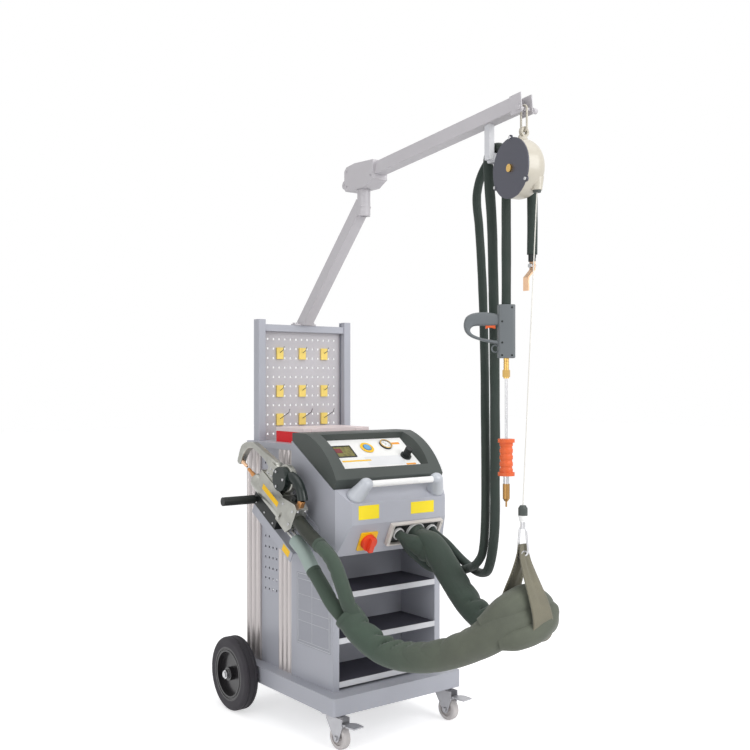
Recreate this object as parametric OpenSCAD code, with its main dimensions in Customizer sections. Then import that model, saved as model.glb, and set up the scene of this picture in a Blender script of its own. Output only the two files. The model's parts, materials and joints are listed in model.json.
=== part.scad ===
// Resistance spot welder on a trolley: cabinet, console, pegboard, mast with boom,
// spring balancer with cable sling, C-gun in a side holder and a hanging stud gun.
// Working frame: x = 0 in the middle of the cabinet, y = 0 at the front edge of the
// base tray, y grows to the rear, z = 0 on the floor. placed() moves it to the origin.

/* [Base tray] */
// Width of the base tray
tray_w = 520; // [480:1:580]
// Depth of the base tray
tray_d = 616; // [590:1:680]
// Height of the tray skirt
tray_h = 55; // [45:1:70]
// Height of the tray's lower edge above the floor
tray_z = 110; // [106:1:130]
// Sheet thickness of the tray
tray_sheet = 3; // [2:0.5:4]
// Width of the flange under the tray
tray_flange = 100; // [90:1:120]

/* [Rear wheels] */
// Diameter of the rear wheels
wheel_d = 250; // [230:1:270]
// Width of a rear wheel
wheel_w = 52; // [40:1:60]
// Radial height of the tyre
tyre_h = 34; // [25:1:45]
// Diameter of the rear axle
axle_d = 20; // [16:1:24]
// Distance of the axle behind the tray's front edge
axle_y = 551; // [540:1:560]
// Gap between the tray and a rear wheel
wheel_gap = 8; // [6:1:12]

/* [Casters] */
// Diameter of a caster wheel
caster_d = 75; // [70:1:78]
// Width of a caster wheel
caster_w = 26; // [22:1:30]
// Trail of the caster wheel behind its swivel
caster_trail = 28; // [24:1:32]
// Swivel's distance from the tray side
caster_in_x = 38; // [36:1:50]
// Swivel's distance from the tray front
caster_in_y = 50; // [45:1:60]
// Direction in which the casters point at rest
caster_turn = -84; // [-90:1:-75]

/* [Cabinet] */
// Width of the cabinet
cab_w = 438; // [420:1:460]
// Depth of the cabinet
cab_d = 536; // [520:1:550]
// Distance of the cabinet front behind the tray front
cab_front = 60; // [55:1:65]
// Height of the top deck above the floor
deck_z = 925; // [915:1:940]
// Thickness of the top deck
deck_t = 20; // [16:1:24]
// Sheet thickness of the cabinet panels
sheet = 2; // [1.5:0.5:3]
// Width of the front posts beside the shelf bay
post_w = 23; // [18:1:28]
// Depth of the shelf bay
bay_d = 180; // [160:1:200]
// Height of the bay's ceiling above the floor
bay_top = 587; // [580:1:592]
// Thickness of the side pillars
pillar_t = 20; // [16:1:24]
// Width of the rear side pillars
rear_pillar_w = 92; // [84:1:96]
// Width of the middle side pillars
mid_pillar_w = 80; // [72:1:88]
// Length of the side panel in front of the middle pillar
front_panel_d = 242; // [236:1:248]
// Pitch of the side perforation along the panel
side_hole_y = 24; // [22:1:26]
// Pitch of the side perforation up the panel
side_hole_z = 36; // [34:1:38]
// Height of the lowest row of the side perforation
side_hole_low = 421; // [415:1:430]
// Width of a perforation
hole_w = 7; // [5:0.5:9]

/* [Shelves] */
// Height of the lowest shelf lip above the floor
shelf_low = 192; // [188:1:200]
// Height of the middle shelf lip above the floor
shelf_mid = 328; // [320:1:335]
// Height of the highest shelf lip above the floor
shelf_high = 469; // [460:1:475]
// Height of a shelf's front lip
lip_h = 18; // [14:1:22]
// Thickness of the shelf mats
mat_t = 3; // [2:0.5:4]

/* [Nose housing] */
// Width of the flat front band
nose_w = 380; // [360:1:400]
// How far the bevels run from the front band to the cabinet outline
nose_d = 50; // [45:1:55]
// Height of the front band's lower edge
band_low = 688; // [680:1:692]
// Height of the front band's upper edge
band_high = 755; // [750:1:760]
// Height of the nose's top edge, where the hood starts
nose_top = 796; // [794:1:800]
// Wall of the nose housing
nose_wall = 4; // [3:0.5:6]

/* [Console hood] */
// Radius of the hood's crown
hood_r = 267; // [264:1:272]
// Height of the hood's flat top
hood_top = 964; // [960:1:970]
// Depth of the hood from the nose to its rear face
hood_d = 239; // [235:1:241]
// Height of the hood's rear lower edge
hood_back_z = 938; // [934:1:944]
// Width of the control panel
panel_w = 324; // [310:1:340]
// Length of the control panel up the slope
panel_l = 151; // [145:1:155]
// Tilt of the control panel
panel_tilt = 36; // [33:1:38]
// Thickness of the control panel
panel_t = 3; // [2:0.5:4]

/* [Controls] */
// Diameter of the push button
button_d = 26; // [20:1:32]
// Diameter of the pressure gauge
gauge_d = 46; // [40:1:50]
// Diameter of the regulator knob
knob_d = 26; // [20:1:30]
// Height of the regulator knob
knob_h = 34; // [26:1:40]
// Side of the main switch plate
switch_plate = 66; // [60:1:72]
// Diameter of the main switch knob
switch_d = 53; // [44:1:58]
// Width of the cable outlet frame
outlet_w = 213; // [206:1:220]
// Height of the cable outlet frame
outlet_h = 80; // [78:1:84]
// Depth of the cable outlet frame
outlet_t = 14; // [10:1:18]

/* [Handle] */
// Diameter of the push handle tube
handle_d = 21; // [18:1:25]
// Length of tube between the brackets
handle_l = 244; // [230:1:260]
// Height of the push handle tube above the floor
handle_z = 814; // [810:1:820]
// How far the handle tube stands in front of the tray edge
handle_out = 10; // [6:1:14]
// Length of a handle bracket's barrel
barrel_l = 43; // [38:1:48]

/* [Tool box] */
// Width of the tool box
box_w = 275; // [260:1:290]
// Depth of the tool box
box_d = 176; // [165:1:178]
// Height of the tool box without its lid
box_h = 37; // [32:1:42]
// Height of the tool box lid
lid_h = 13; // [10:1:16]
// Wall of the tool box
box_wall = 3; // [2:0.5:4]

/* [Pegboard] */
// Width over the pegboard uprights
peg_w = 398; // [390:1:410]
// Width of an upright
upright_w = 29; // [25:1:33]
// Depth of an upright
upright_d = 37; // [33:1:40]
// Height of the uprights above the deck
peg_h = 429; // [410:1:440]
// Pitch of the pegboard holes across
peg_hole_x = 24; // [22:1:26]
// Pitch of the pegboard holes up the board
peg_hole_z = 34; // [32:1:36]
// Height of a yellow hook base
hook_h = 42; // [36:1:46]
// Width of a yellow hook base
hook_w = 28; // [24:1:32]

/* [Mast and boom] */
// Side of the mast tube
mast_w = 40; // [35:1:45]
// How far the mast leans forward
mast_lean = 370; // [360:1:380]
// Height of the boom swivel's seat above the floor
pivot_z = 1776; // [1760:1:1790]
// Diameter of the swivel sleeve
sleeve_d = 44; // [40:1:48]
// Diameter of the swivel pin
pivot_pin_d = 24; // [20:1:28]
// Horizontal reach of the boom from the swivel to the tip pin
boom_reach = 742; // [720:1:760]
// Rise angle of the boom
boom_rise = 6.2; // [5:0.1:8]
// Direction of the boom at rest: 90 is straight to the front
boom_turn = 90; // [86:1:94]
// Height of the boom tube's section
boom_h = 40; // [36:1:44]
// Width of the boom tube's section
boom_w = 40; // [36:1:44]
// Wall of the boom tube
boom_wall = 3; // [2:0.5:4]
// Distance of the cable hanger behind the boom's tip
hanger_back = 137; // [130:1:144]
// Height of the saddle's axis above the floor
saddle_z = 1772; // [1766:1:1778]
// Radius of the cable saddle
saddle_r = 20; // [18:1:21]

/* [Balancer] */
// Diameter of the balancer housing
balancer_d = 165; // [160:1:170]
// Width of the balancer housing
balancer_w = 74; // [72:1:78]
// Height of the balancer's axis above the floor
balancer_z = 1719; // [1715:1:1723]
// How far the hanging balancer is turned at rest
balancer_turn = 10; // [0:1:15]
// Radius at which the rope leaves the drum
drum_r = 56; // [53:1:58]
// Diameter of the balancer rope
rope_d = 3; // [2.5:0.5:4]
// Height of the rope stopper's top above the floor
stopper_z = 791; // [780:1:800]

/* [Cable sling] */
// Height of the sling's eyelet above the floor
eyelet_z = 654; // [648:1:658]
// Height of the sling's lowest point above the floor
sling_low = 405; // [400:1:407]
// Half width of the sling's loop at its widest
sling_half = 67; // [65:1:70]
// Width of the sling's band at the bottom
sling_band = 84; // [78:1:88]
// Width of the sling's band beside the sleeve
sling_mid_band = 68; // [62:1:72]
// Width of the sling's band at the eyelet
sling_top_band = 28; // [26:1:34]
// How far the sling's foot lies to the right of its eyelet
sling_shift = 14; // [10:1:16]
// Thickness of the sling's cloth
sling_t = 4; // [3:0.5:5]

/* [Stud gun] */
// Height of the stud gun body
stud_h = 153; // [147:1:160]
// Width of the stud gun body
stud_w = 49; // [45:1:53]
// Depth of the stud gun body
stud_t = 38; // [34:1:42]
// Height of the stud gun's lower face above the floor
stud_z = 1200; // [1194:1:1206]
// Diameter of the hammer rod
rod_d = 8; // [7:0.5:10]
// Diameter of the slide hammer at its flanges
hammer_d = 48; // [44:1:52]
// Length of the slide hammer
hammer_l = 105; // [100:1:110]
// Height of the slide hammer's lower stop above the floor
hammer_z = 864; // [860:1:870]

/* [C-gun] */
// Tilt of the C-gun's axis
gun_tilt = 29.6; // [27:0.1:32]
// Distance of the gun's axis from the cabinet side
gun_out = 61; // [58:1:66]
// Diameter of the gun's cylinder
gun_d = 54; // [50:1:58]
// Length of the gun's cylinder
gun_l = 200; // [192:1:208]
// Diameter of the moving electrode's stem
stem_d = 16; // [13:1:18]
// Opening between the electrodes
gun_gap = 14; // [12:1:16]
// Clear height between the electrode axis and the C arm
gun_throat = 67; // [64:1:72]
// Length of the side handle
side_handle_l = 118; // [110:1:125]
// Diameter of the side handle
side_handle_d = 29; // [26:1:32]

/* [Cords] */
// Diameter of the main sleeve
main_d = 84; // [80:1:86]
// Diameter of the main sleeve in its port
main_port_d = 70; // [66:1:72]
// Diameter of the two gun sleeves
gun_sleeve_d = 44; // [40:1:46]
// Diameter of the two lead sleeves
lead_d = 28; // [26:1:29]

/* [Clearances] */
// Gap between parts that move past each other
move_gap = 0.4; // [0.3:0.1:0.8]
// Radial running clearance of pins and shafts
run_gap = 0.05; // [0.02:0.01:0.1]
// Gap between fixed parts that sit in each other
seat_gap = 0.1; // [0.05:0.05:0.2]

/* [Hidden] */
$fn = 48;
eps = 0.01;

// Colours
grey_paint = "#a9abb5";
light_grey = "#c9cbd2";
dark_grey = "#565d5c";
black = "#1d1f20";
steel = "#c4c4c4";
copper = "#b8744a";
brass = "#c8a860";
yellow = "#f5c518";
red = "#e02a20";
cloth_green = "#44564a";

// Cabinet planes
half_w = cab_w / 2;
tray_top = tray_z + tray_h;
cab_rear = cab_front + cab_d;
mid_front = cab_front + front_panel_d;
mid_rear = mid_front + mid_pillar_w;
rear_front = cab_rear - rear_pillar_w;
bay_half = half_w - post_w;
bay_back = cab_front + bay_d;
pillar_top = deck_z - deck_t;
hood_slope = atan2(hood_back_z - nose_top, hood_d);
hood_front = cab_front - sheet;
hood_rear = hood_front + hood_d;

// Wheels and casters
axle_z = wheel_d / 2;
wheel_x = tray_w / 2 + wheel_gap + wheel_w / 2;
rim_r = wheel_d / 2 - tyre_h;
hub_boss_d = axle_d + 26;
nut_gap = 1;
nut_h = 10;
nut_dome = 5;
caster_x = tray_w / 2 - caster_in_x;
caster_plate_t = 4;
caster_plate_w = 64;
king_d = 12;
race_t = 5;
fork_t = 3;
crown_t = 5;
crown_z = tray_z - caster_plate_t - race_t - move_gap - crown_t;
caster_bolt_d = 8;
fork_in = caster_w / 2 + 1.5;
fork_half = fork_in + fork_t;
pedal_pin_d = 6;
pedal_pin_x = caster_trail + 20;
pedal_pin_z = caster_d + 2;
pedal_l = 48;
pedal_w = 46;
pedal_t = 3;

// Console: the panel's lower edge stands behind the hood's front lip
lip_front = hood_front - 13;
lip_z = nose_top + 29;
panel_y = hood_front + 26;
panel_z = nose_top + 54;
crown_y = hood_front + 224;
crown_cz = nose_top - 91;
panel_ledge = 10;
button_at = [-7, 105];
gauge_at = [78, 116];
knob_at = [124, 52];
display_at = [-108, 92];
display_w = 76;
display_l = 58;
button_travel = 1.5;

// Nose faces, from the front band back to the cabinet outline
lower_tilt = atan2(nose_d, band_low - bay_top);
upper_tilt = atan2(nose_top - band_high, nose_d);
outlet_at = [69.5, -45];
port_x = [-66.5, 2.5, 70.5];
port_r = [20, 38, 20];
ring_w = 3;
switch_at = [-112, -63.5];
switch_boss_d = 30;
switch_boss_h = 5;
switch_stem_d = 10;

// Top
box_x = -32;
box_rear = cab_rear - 115;
upright_y = cab_rear - 12 - upright_d;
peg_panel_y = upright_y + upright_d - 4;
bar_h = 24;
bar_z = deck_z + peg_h - 41;
peg_cols = 13;
peg_rows = 12;
hook_cols = [-4, 0, 4];
hook_rows = [[-1, 30], [-5, 30], [-8, 70]];
hook_t = 8;
wire_d = 3;
peg_top_row = bar_z - 27;

// Mast and boom
mast_foot_y = upright_y + upright_d / 2;
mast_foot_z = bar_z + bar_h;
flange_t = 6;
pivot_y = mast_foot_y - mast_lean;
sleeve_h = 88;
bracket_rear = 71;
bracket_front = 89;
bracket_w = 60;
bracket_h = 88;
boom_z = pivot_z + move_gap + 47;
ear_drop = 18;
ear_t = 3;
tip_z = boom_z + boom_reach * tan(boom_rise) - ear_drop;
boom_start = 34;
tip_pin_d = 10;
yoke_l = 34;
hanger_w = 20;
saddle_len = 96;
lead_b = [31, 72];
lead_arc = saddle_r + lead_d / 2 + 3;

// Balancer hangs below the tip pin
function boom_dir(a) = [cos(a), -sin(a), 0];
function on_boom_at(s, b, z) =
  [0, pivot_y, z] + s * boom_dir(boom_turn) + b * [sin(boom_turn), cos(boom_turn), 0];
tip = on_boom_at(boom_reach, 0, tip_z);
balancer_y = 6;
bal_round = 45;
bal_wall = 5;
cover_t = 4;
cover_rim = 1;
cover_ears = [60, 180, 300];
drum_w = 46;
drum_gap = 8;
drum_pin_d = 14;
nozzle_d = 28;
nozzle_x = 8;
nozzle_low = balancer_z - 66;
rope_top = [
  tip[0] + nozzle_x * cos(balancer_turn) - drum_r * sin(balancer_turn),
  tip[1] + balancer_y - nozzle_x * sin(balancer_turn) - drum_r * cos(balancer_turn),
  nozzle_low
];
rope_low = [tip[0] + 2, tip[1] + 6, stopper_z];
rope_up = unit(rope_top - rope_low);
eye_z = balancer_z + balancer_d / 2 + 20;
shackle_half = 11;
shackle_d = 6;

// Rope end and sling
stopper_d = 26;
carabiner_d = 6;
carabiner_half = 14;
carabiner_top = stopper_z - 60;
carabiner_low = eyelet_z;
eyelet_d = 19;
sling_x = rope_low[0];
sling_y = rope_low[1];

// Stud gun hangs from its lead where that leaves the saddle
hanger_s = boom_reach - hanger_back;
stud_at = on_boom_at(hanger_s + lead_arc, lead_b[0], stud_z);
grip_turn = 142.8;
grip_reach = 97;
grip_t = 28;
grip_high = stud_h - 22;
grip_low = stud_h - 109;
grip_half = (grip_high - grip_low) / 2;
finger_h = 42;
trigger_l = 28;
trigger_h = 12;
trigger_w = 13;
trigger_travel = 5;
chuck_d = 22;
chuck_l = 58;
tip_d = 20;
tip_l = 42;
collar_d = 16;
collar_l = 23;
pin_l = 24;

// Ground lug at the end of its lead
lug_top = on_boom_at(hanger_s + 99, lead_b[1], 1493);
lug_w = 20;
lug_t = 4;
lug_step = -26;

// C-gun: its own axis runs from the rear block to the electrodes
gun_x = -half_w - gun_out;
gun_rear = [gun_x, 128, 637];
block_rear = 58;
block_front = 150;
gun_start = 130;
gun_front = gun_start + gun_l;
stem_out = 40;
tip_len = 30;
electrode_x = gun_front + stem_out + tip_len;
arm_x = electrode_x + gun_gap + tip_len;
arm_w = 26;
upper_top = gun_throat - 1;
cap_d = 78;
cap_x = 186;
cap_z = upper_top + cap_d / 2 + seat_gap;
grip_r = 85;
lower_h = 44;
lower_low = -gun_d / 2 - lower_h;
side_out = 20;
holder_t = 3;
ledge_out = 9;
trigger_at = block_rear + 50;
lead_rod_x = 39;
lead_rod_z = -24;

// Routes of the cords, chosen by hand
main_route = [
  [74, -64, 618], [77, -105, 580], [81, -150, 530], [86, -195, 480], [92, -240, 440], [99, -295, 412],
  [106, -355, 410], [112, -415, 424], [112, -468, 443], [100, -510, 458], [68, -536, 470], [28, -543, 476],
  [-12, -542, 477], [-50, -533, 467], [-86, -498, 434], [-113, -434, 394], [-140, -355, 358],
  [-172, -262, 338], [-205, -180, 345], [-232, -112, 384], [-249, -58, 432]
];
main_swell = [0, 0, 0, 0, 0, 1, 4, 7, 9, 11, 12, 12, 12, 10, 8, 4, 2, 1, 0, 0, 0];
gun_route_high = [
  [-280, 163, 691], [-280, 111, 661], [-280, 52, 634], [-281, 0, 612], [-280, -36, 582], [-277, -58, 545],
  [-270, -72, 505], [-256, -80, 460], [-226, -88, 424]
];
gun_route_low = [
  [-284, 176, 630], [-285, 126, 602], [-286, 72, 552], [-285, 15, 504], [-281, -20, 468], [-266, -38, 440],
  [-236, -48, 404]
];
lead_route_a = [
  [146, -55, 610], [168, -105, 562], [170, -165, 536], [148, -225, 538], [118, -280, 560], [98, -318, 615],
  [88, -340, 700], [80, -350, 850], [72, -358, 1050], [62, -366, 1250], [54, -370, 1430], [44, -374, 1600]
];
lead_route_b = [
  [14, -26, 600], [40, -44, 570], [74, -58, 542], [108, -82, 530], [140, -128, 532], [134, -185, 551],
  [108, -240, 574], [91, -285, 616], [82, -305, 700], [78, -312, 850], [76, -312, 1050], [76, -308, 1250],
  [76, -300, 1430], [74, -288, 1600], [72, -280, 1690]
];
// Second lead over the saddle: steps along the boom and up from the saddle's axis
saddle_wide = [[-112, -24], [-70, 20], [-10, 38], [40, 28], [80, -14], [97, -82], [100, -172]];

// Overall reach in the working frame, so that the origin lies under the middle
reach_left = gun_x - side_out - side_handle_l;
reach_right = wheel_x + wheel_w / 2 + nut_gap + nut_h + nut_dome;
bal_reach = bal_round + (balancer_d / 2 - bal_round) * cos(balancer_turn)
  + (balancer_w / 2 - bal_round) * sin(balancer_turn);
reach_front = tip[1] + balancer_y - bal_reach;
reach_rear = axle_y + wheel_d / 2;
middle = [(reach_left + reach_right) / 2, (reach_front + reach_rear) / 2, 0];

// Placing helpers
module placed() {
  translate(-middle) children();
}

module on_panel() {
  placed() translate([0, panel_y, panel_z]) rotate([panel_tilt, 0, 0]) children();
}

module on_lower_face() {
  placed() translate([0, 0, band_low]) rotate([90 + lower_tilt, 0, 0]) children();
}

module on_boom() {
  placed() translate([0, pivot_y, 0]) rotate([0, 0, -boom_turn]) children();
}

module at_tip() {
  placed() translate([tip[0], tip[1], 0]) children();
}

module at_stud() {
  placed() translate(stud_at) rotate([0, 0, grip_turn]) children();
}

module at_gun() {
  placed() translate(gun_rear) rotate([gun_tilt, 0, 0]) rotate([0, 0, 90]) children();
}

module at_caster(side) {
  placed() translate([side * caster_x, caster_in_y, 0]) rotate([0, 0, caster_turn]) children();
}

module at_rear_wheel(side) {
  placed() translate([side * wheel_x, axle_y, axle_z]) rotate([0, side * 90, 0]) children();
}

// Shape helpers
module rounded2d(w, d, r) {
  translate([-w / 2 + r, -d / 2]) square([w - 2 * r, d]);
  translate([-w / 2, -d / 2 + r]) square([w, d - 2 * r]);
  for (sx = [-1, 1], sy = [-1, 1]) translate([sx * (w / 2 - r), sy * (d / 2 - r)]) circle(r = r);
}

module rounded_block(w, d, h, r) {
  linear_extrude(h) rounded2d(w, d, r);
}

// A slab between two x planes whose outline is drawn in y and z
module along_x(x0, x1) {
  translate([x0, 0, 0]) rotate([90, 0, 90]) linear_extrude(x1 - x0) children();
}

// A slab between two y planes whose outline is drawn in x and z
module along_y(y0, y1) {
  translate([0, y1, 0]) rotate([90, 0, 0]) linear_extrude(y1 - y0) children();
}

module rod_x(d, x0, x1) {
  translate([x0, 0, 0]) rotate([0, 90, 0]) cylinder(d = d, h = x1 - x0);
}

module rod_y(d, y0, y1) {
  translate([0, y0, 0]) rotate([-90, 0, 0]) cylinder(d = d, h = y1 - y0);
}

// Swept tubes for the cords
function unit(v) = v / norm(v);
function tangent(p, i) = unit(p[min(i + 1, len(p) - 1)] - p[max(i - 1, 0)]);
function carried(u, t) = unit(u - (u * t) * t);
function sides_of(p, u, i = 0) =
  i >= len(p) ? [] :
  let (v = carried(u, tangent(p, i)))
  concat([v], sides_of(p, v, i + 1));

module swept_tube(p, radii, sides = 10) {
  u = sides_of(p, [0.02, 0.9, 0.4]);
  n = len(p);
  points = [
    for (i = [0:n - 1], k = [0:sides - 1])
      let (w = cross(tangent(p, i), u[i]), a = 360 * k / sides)
      p[i] + radii[i] * (cos(a) * u[i] + sin(a) * w)
  ];
  walls = [
    for (i = [0:n - 2], k = [0:sides - 1], half = [0, 1])
      let (a = i * sides + k, b = i * sides + (k + 1) % sides)
      half == 0 ? [a, a + sides, b] : [b, a + sides, b + sides]
  ];
  ends = [
    [for (k = [0:sides - 1]) k],
    [for (k = [0:sides - 1]) n * sides - 1 - k]
  ];
  polyhedron(points, concat(walls, ends));
}

function even_radii(p, d) = [for (q = p) d / 2];

// Point on the lower nose face, given across, up the slope and out of it
function lower_point(x, v, out) =
  [x, -out * cos(lower_tilt) - v * sin(lower_tilt), band_low - out * sin(lower_tilt) + v * cos(lower_tilt)];

// Base and wheels
module base_tray() {
  color(grey_paint) placed() difference() {
    translate([0, tray_d / 2, tray_z]) rounded_block(tray_w, tray_d, tray_h, 10);
    translate([0, tray_d / 2, tray_z + tray_sheet])
      rounded_block(tray_w - 2 * tray_sheet, tray_d - 2 * tray_sheet, tray_h - 2 * tray_sheet, 8);
    translate([0, tray_d / 2, tray_z - 1])
      rounded_block(tray_w - 2 * tray_flange, tray_d - 2 * tray_flange, tray_sheet + 2, 8);
    translate([0, axle_y, axle_z]) rod_x(axle_d + 2 * seat_gap, -tray_w, tray_w);
  }
}

module rear_axle() {
  nut_d = axle_d + 12;
  end_x = wheel_x + wheel_w / 2 + nut_gap;
  color(brass) placed() translate([0, axle_y, axle_z]) {
    rod_x(axle_d, -end_x, end_x);
    for (side = [-1, 1]) translate([side * (end_x + nut_h / 2), 0, 0]) rotate([0, 90, 0]) {
      cylinder(d = nut_d, h = nut_h, center = true, $fn = 6);
      translate([0, 0, side * (nut_h + nut_dome) / 2]) cylinder(d = axle_d, h = nut_dome, center = true);
    }
    for (side = [-1, 1]) translate([side * (tray_w / 2 + wheel_gap / 2), 0, 0]) rotate([0, 90, 0])
      cylinder(d = hub_boss_d - 8, h = wheel_gap - 2 * move_gap, center = true);
  }
}

module rear_tyre(side) {
  r = wheel_d / 2;
  h = wheel_w / 2;
  color(black) at_rear_wheel(side) rotate_extrude() difference() {
    union() {
      translate([rim_r + seat_gap, -h]) square([tyre_h - 12, wheel_w]);
      translate([rim_r, -h + 10]) square([tyre_h - seat_gap, wheel_w - 20]);
      for (s = [-1, 1]) translate([r - 12, s * (h - 12)]) circle(r = 12);
    }
    translate([0, -h - 1]) square([rim_r + seat_gap, wheel_w + 2]);
    for (s = [-1, 1]) translate([r, s * 9]) circle(r = 2.5);
  }
}

module rear_tyre_left() { rear_tyre(-1); }
module rear_tyre_right() { rear_tyre(1); }

module rear_hub(side) {
  h = wheel_w / 2;
  color(black) at_rear_wheel(side) rotate_extrude() difference() {
    translate([0, -h]) square([rim_r, wheel_w]);
    translate([0, -h - 1]) square([axle_d / 2 + run_gap, wheel_w + 2]);
    for (s = [-1, 1]) translate([hub_boss_d / 2, s > 0 ? 8 : -h - 1])
      square([rim_r - 16 - hub_boss_d / 2, h - 7]);
    translate([rim_r - 8, h]) circle(r = 3);
  }
}

module rear_hub_left() { rear_hub(-1); }
module rear_hub_right() { rear_hub(1); }

module caster_plates() {
  color(steel) for (side = [-1, 1]) at_caster(side) {
    translate([0, 0, tray_z - caster_plate_t])
      rounded_block(caster_plate_w, caster_plate_w, caster_plate_t, 8);
    translate([0, 0, tray_z - caster_plate_t - race_t]) cylinder(d1 = 36, d2 = 46, h = race_t + eps);
    translate([0, 0, crown_z - 7]) cylinder(d = king_d, h = crown_t + race_t + 8);
    translate([0, 0, crown_z - 7 - move_gap]) cylinder(d = king_d + 8, h = 7);
    for (sx = [-1, 1], sy = [-1, 1])
      translate([sx * 24, sy * 24, tray_z - caster_plate_t - 4]) cylinder(d = 10, h = 4 + eps, $fn = 6);
  }
}

module caster_fork(side) {
  leg = [[-20, crown_z + crown_t], [-20, crown_z - 6], [caster_trail - 13, caster_d / 2],
         [caster_trail + 13, caster_d / 2], [pedal_pin_x + 6, pedal_pin_z - 6],
         [pedal_pin_x + 6, crown_z + crown_t]];
  color(steel) at_caster(side) {
    difference() {
      union() {
        translate([-20, -fork_half, crown_z]) cube([44, 2 * fork_half, crown_t]);
        translate([0, 0, crown_z]) cylinder(d = 44, h = crown_t);
        for (s = [-1, 1]) translate([0, s * (fork_in + fork_t / 2) + fork_t / 2, 0]) rotate([90, 0, 0])
          linear_extrude(fork_t) union() {
            polygon(leg);
            translate([caster_trail, caster_d / 2]) circle(r = 13);
            translate([pedal_pin_x, pedal_pin_z]) circle(r = 7);
          }
      }
      translate([0, 0, crown_z - 1]) cylinder(d = king_d + 2 * run_gap, h = crown_t + 2);
    }
    translate([caster_trail, 0, caster_d / 2]) {
      rod_y(caster_bolt_d, -fork_half - 4, fork_half + 4);
      for (s = [-1, 1]) translate([0, s * (fork_half + 2.5), 0]) rotate([90, 0, 0])
        cylinder(d = 14, h = 5 + 2 * eps, center = true, $fn = 6);
    }
    translate([pedal_pin_x, 0, pedal_pin_z]) rod_y(pedal_pin_d, -fork_half, fork_half);
  }
}

module caster_fork_left() { caster_fork(-1); }
module caster_fork_right() { caster_fork(1); }

module caster_wheel(side) {
  r = caster_d / 2;
  h = caster_w / 2;
  color(light_grey) at_caster(side) translate([caster_trail, 0, r]) rotate([90, 0, 0])
    rotate_extrude() difference() {
      union() {
        translate([0, -h]) square([r - 6, caster_w]);
        translate([0, -h + 6]) square([r, caster_w - 12]);
        for (s = [-1, 1]) translate([r - 6, s * (h - 6)]) circle(r = 6);
      }
      translate([0, -h - 1]) square([caster_bolt_d / 2 + run_gap, caster_w + 2]);
      for (s = [-1, 1]) translate([11, s > 0 ? 5 : -h - 1]) square([r - 24, h - 4]);
    }
}

module caster_wheel_left() { caster_wheel(-1); }
module caster_wheel_right() { caster_wheel(1); }

module caster_brake(side) {
  color(steel) at_caster(side) translate([pedal_pin_x, 0, pedal_pin_z]) difference() {
    union() {
      rod_y(pedal_pin_d + 6, -fork_in + move_gap, fork_in - move_gap);
      along_y(-fork_in + move_gap, fork_in - move_gap)
        polygon([[-2, 1], [2, 6], [20, 10], [20, 6], [5, -2]]);
      translate([18, 0, 6]) linear_extrude(pedal_t + 1) polygon([
        [0, -fork_in + move_gap], [14, -pedal_w / 2], [pedal_l, -pedal_w / 2 + 3],
        [pedal_l, pedal_w / 2 - 3], [14, pedal_w / 2], [0, fork_in - move_gap]]);
    }
    rod_y(pedal_pin_d + 2 * run_gap, -fork_half, fork_half);
  }
}

module caster_brake_left() { caster_brake(-1); }
module caster_brake_right() { caster_brake(1); }

// Cabinet
module pillar2d(w) {
  lobe = w / 3;
  difference() {
    square([w, pillar_t]);
    for (i = [0:2]) translate([lobe * (i + 0.5), pillar_t + lobe * 0.22]) circle(r = lobe * 0.42);
    for (i = [1:2]) translate([lobe * i - 1, pillar_t - 3]) square([2, 4]);
    translate([8, -1]) square([w - 16, pillar_t - 9]);
  }
}

module side_pillars() {
  color("#c6c1bf") placed()
    for (side = [-1, 1], span = [[mid_front, mid_pillar_w], [rear_front, rear_pillar_w]])
      mirror([side > 0 ? 1 : 0, 0, 0]) translate([pillar_t - half_w, span[0], tray_top]) rotate([0, 0, 90])
        linear_extrude(pillar_top - tray_top) pillar2d(span[1]);
}

module front_side_panel(side) {
  mirror([side > 0 ? 1 : 0, 0, 0]) {
    along_x(-half_w, -half_w + sheet) polygon([
      [cab_front, tray_top], [mid_front, tray_top], [mid_front, hood_back_z - 2],
      [hood_rear, hood_back_z - 2], [cab_front, nose_top + (cab_front - hood_front) * tan(hood_slope) - 2]]);
    translate([-half_w, cab_front, tray_top]) cube([post_w, sheet, bay_top - tray_top]);
    translate([-half_w + post_w - sheet, cab_front, tray_top]) cube([sheet, 14, bay_top - tray_top]);
  }
}

module perforated_panel(side) {
  rows = floor((pillar_top - 40 - side_hole_low) / side_hole_z);
  mid = (mid_rear + rear_front) / 2;
  x = side * (half_w - 8);
  along_x(x - sheet / 2, x + sheet / 2) difference() {
    translate([mid_rear, tray_top]) square([rear_front - mid_rear, pillar_top - tray_top]);
    for (row = [0:rows], col = [-1.5:1:1.5])
      translate([mid + col * side_hole_y, side_hole_low + row * side_hole_z]) square(hole_w, center = true);
  }
}

module rear_panel() {
  w = cab_w - 2 * pillar_t;
  y = cab_rear - 6;
  difference() {
    along_y(y - sheet, y) difference() {
      translate([-w / 2, tray_top]) square([w, pillar_top - tray_top]);
      for (block = [320, 640], row = [0:7], col = [-1, 1])
        translate([col * 70, block + row * 16]) square([110, 6], center = true);
    }
    translate([-100, y + 1, tray_top + 70]) rotate([90, 0, 0]) cylinder(d = 30, h = sheet + 2);
    translate([100, y + 1, tray_top + 70]) rotate([90, 0, 0]) cylinder(d = 14, h = sheet + 2);
  }
}

module cabinet_panels() {
  color(grey_paint) placed() {
    for (side = [-1, 1]) {
      front_side_panel(side);
      perforated_panel(side);
    }
    rear_panel();
  }
}

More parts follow.
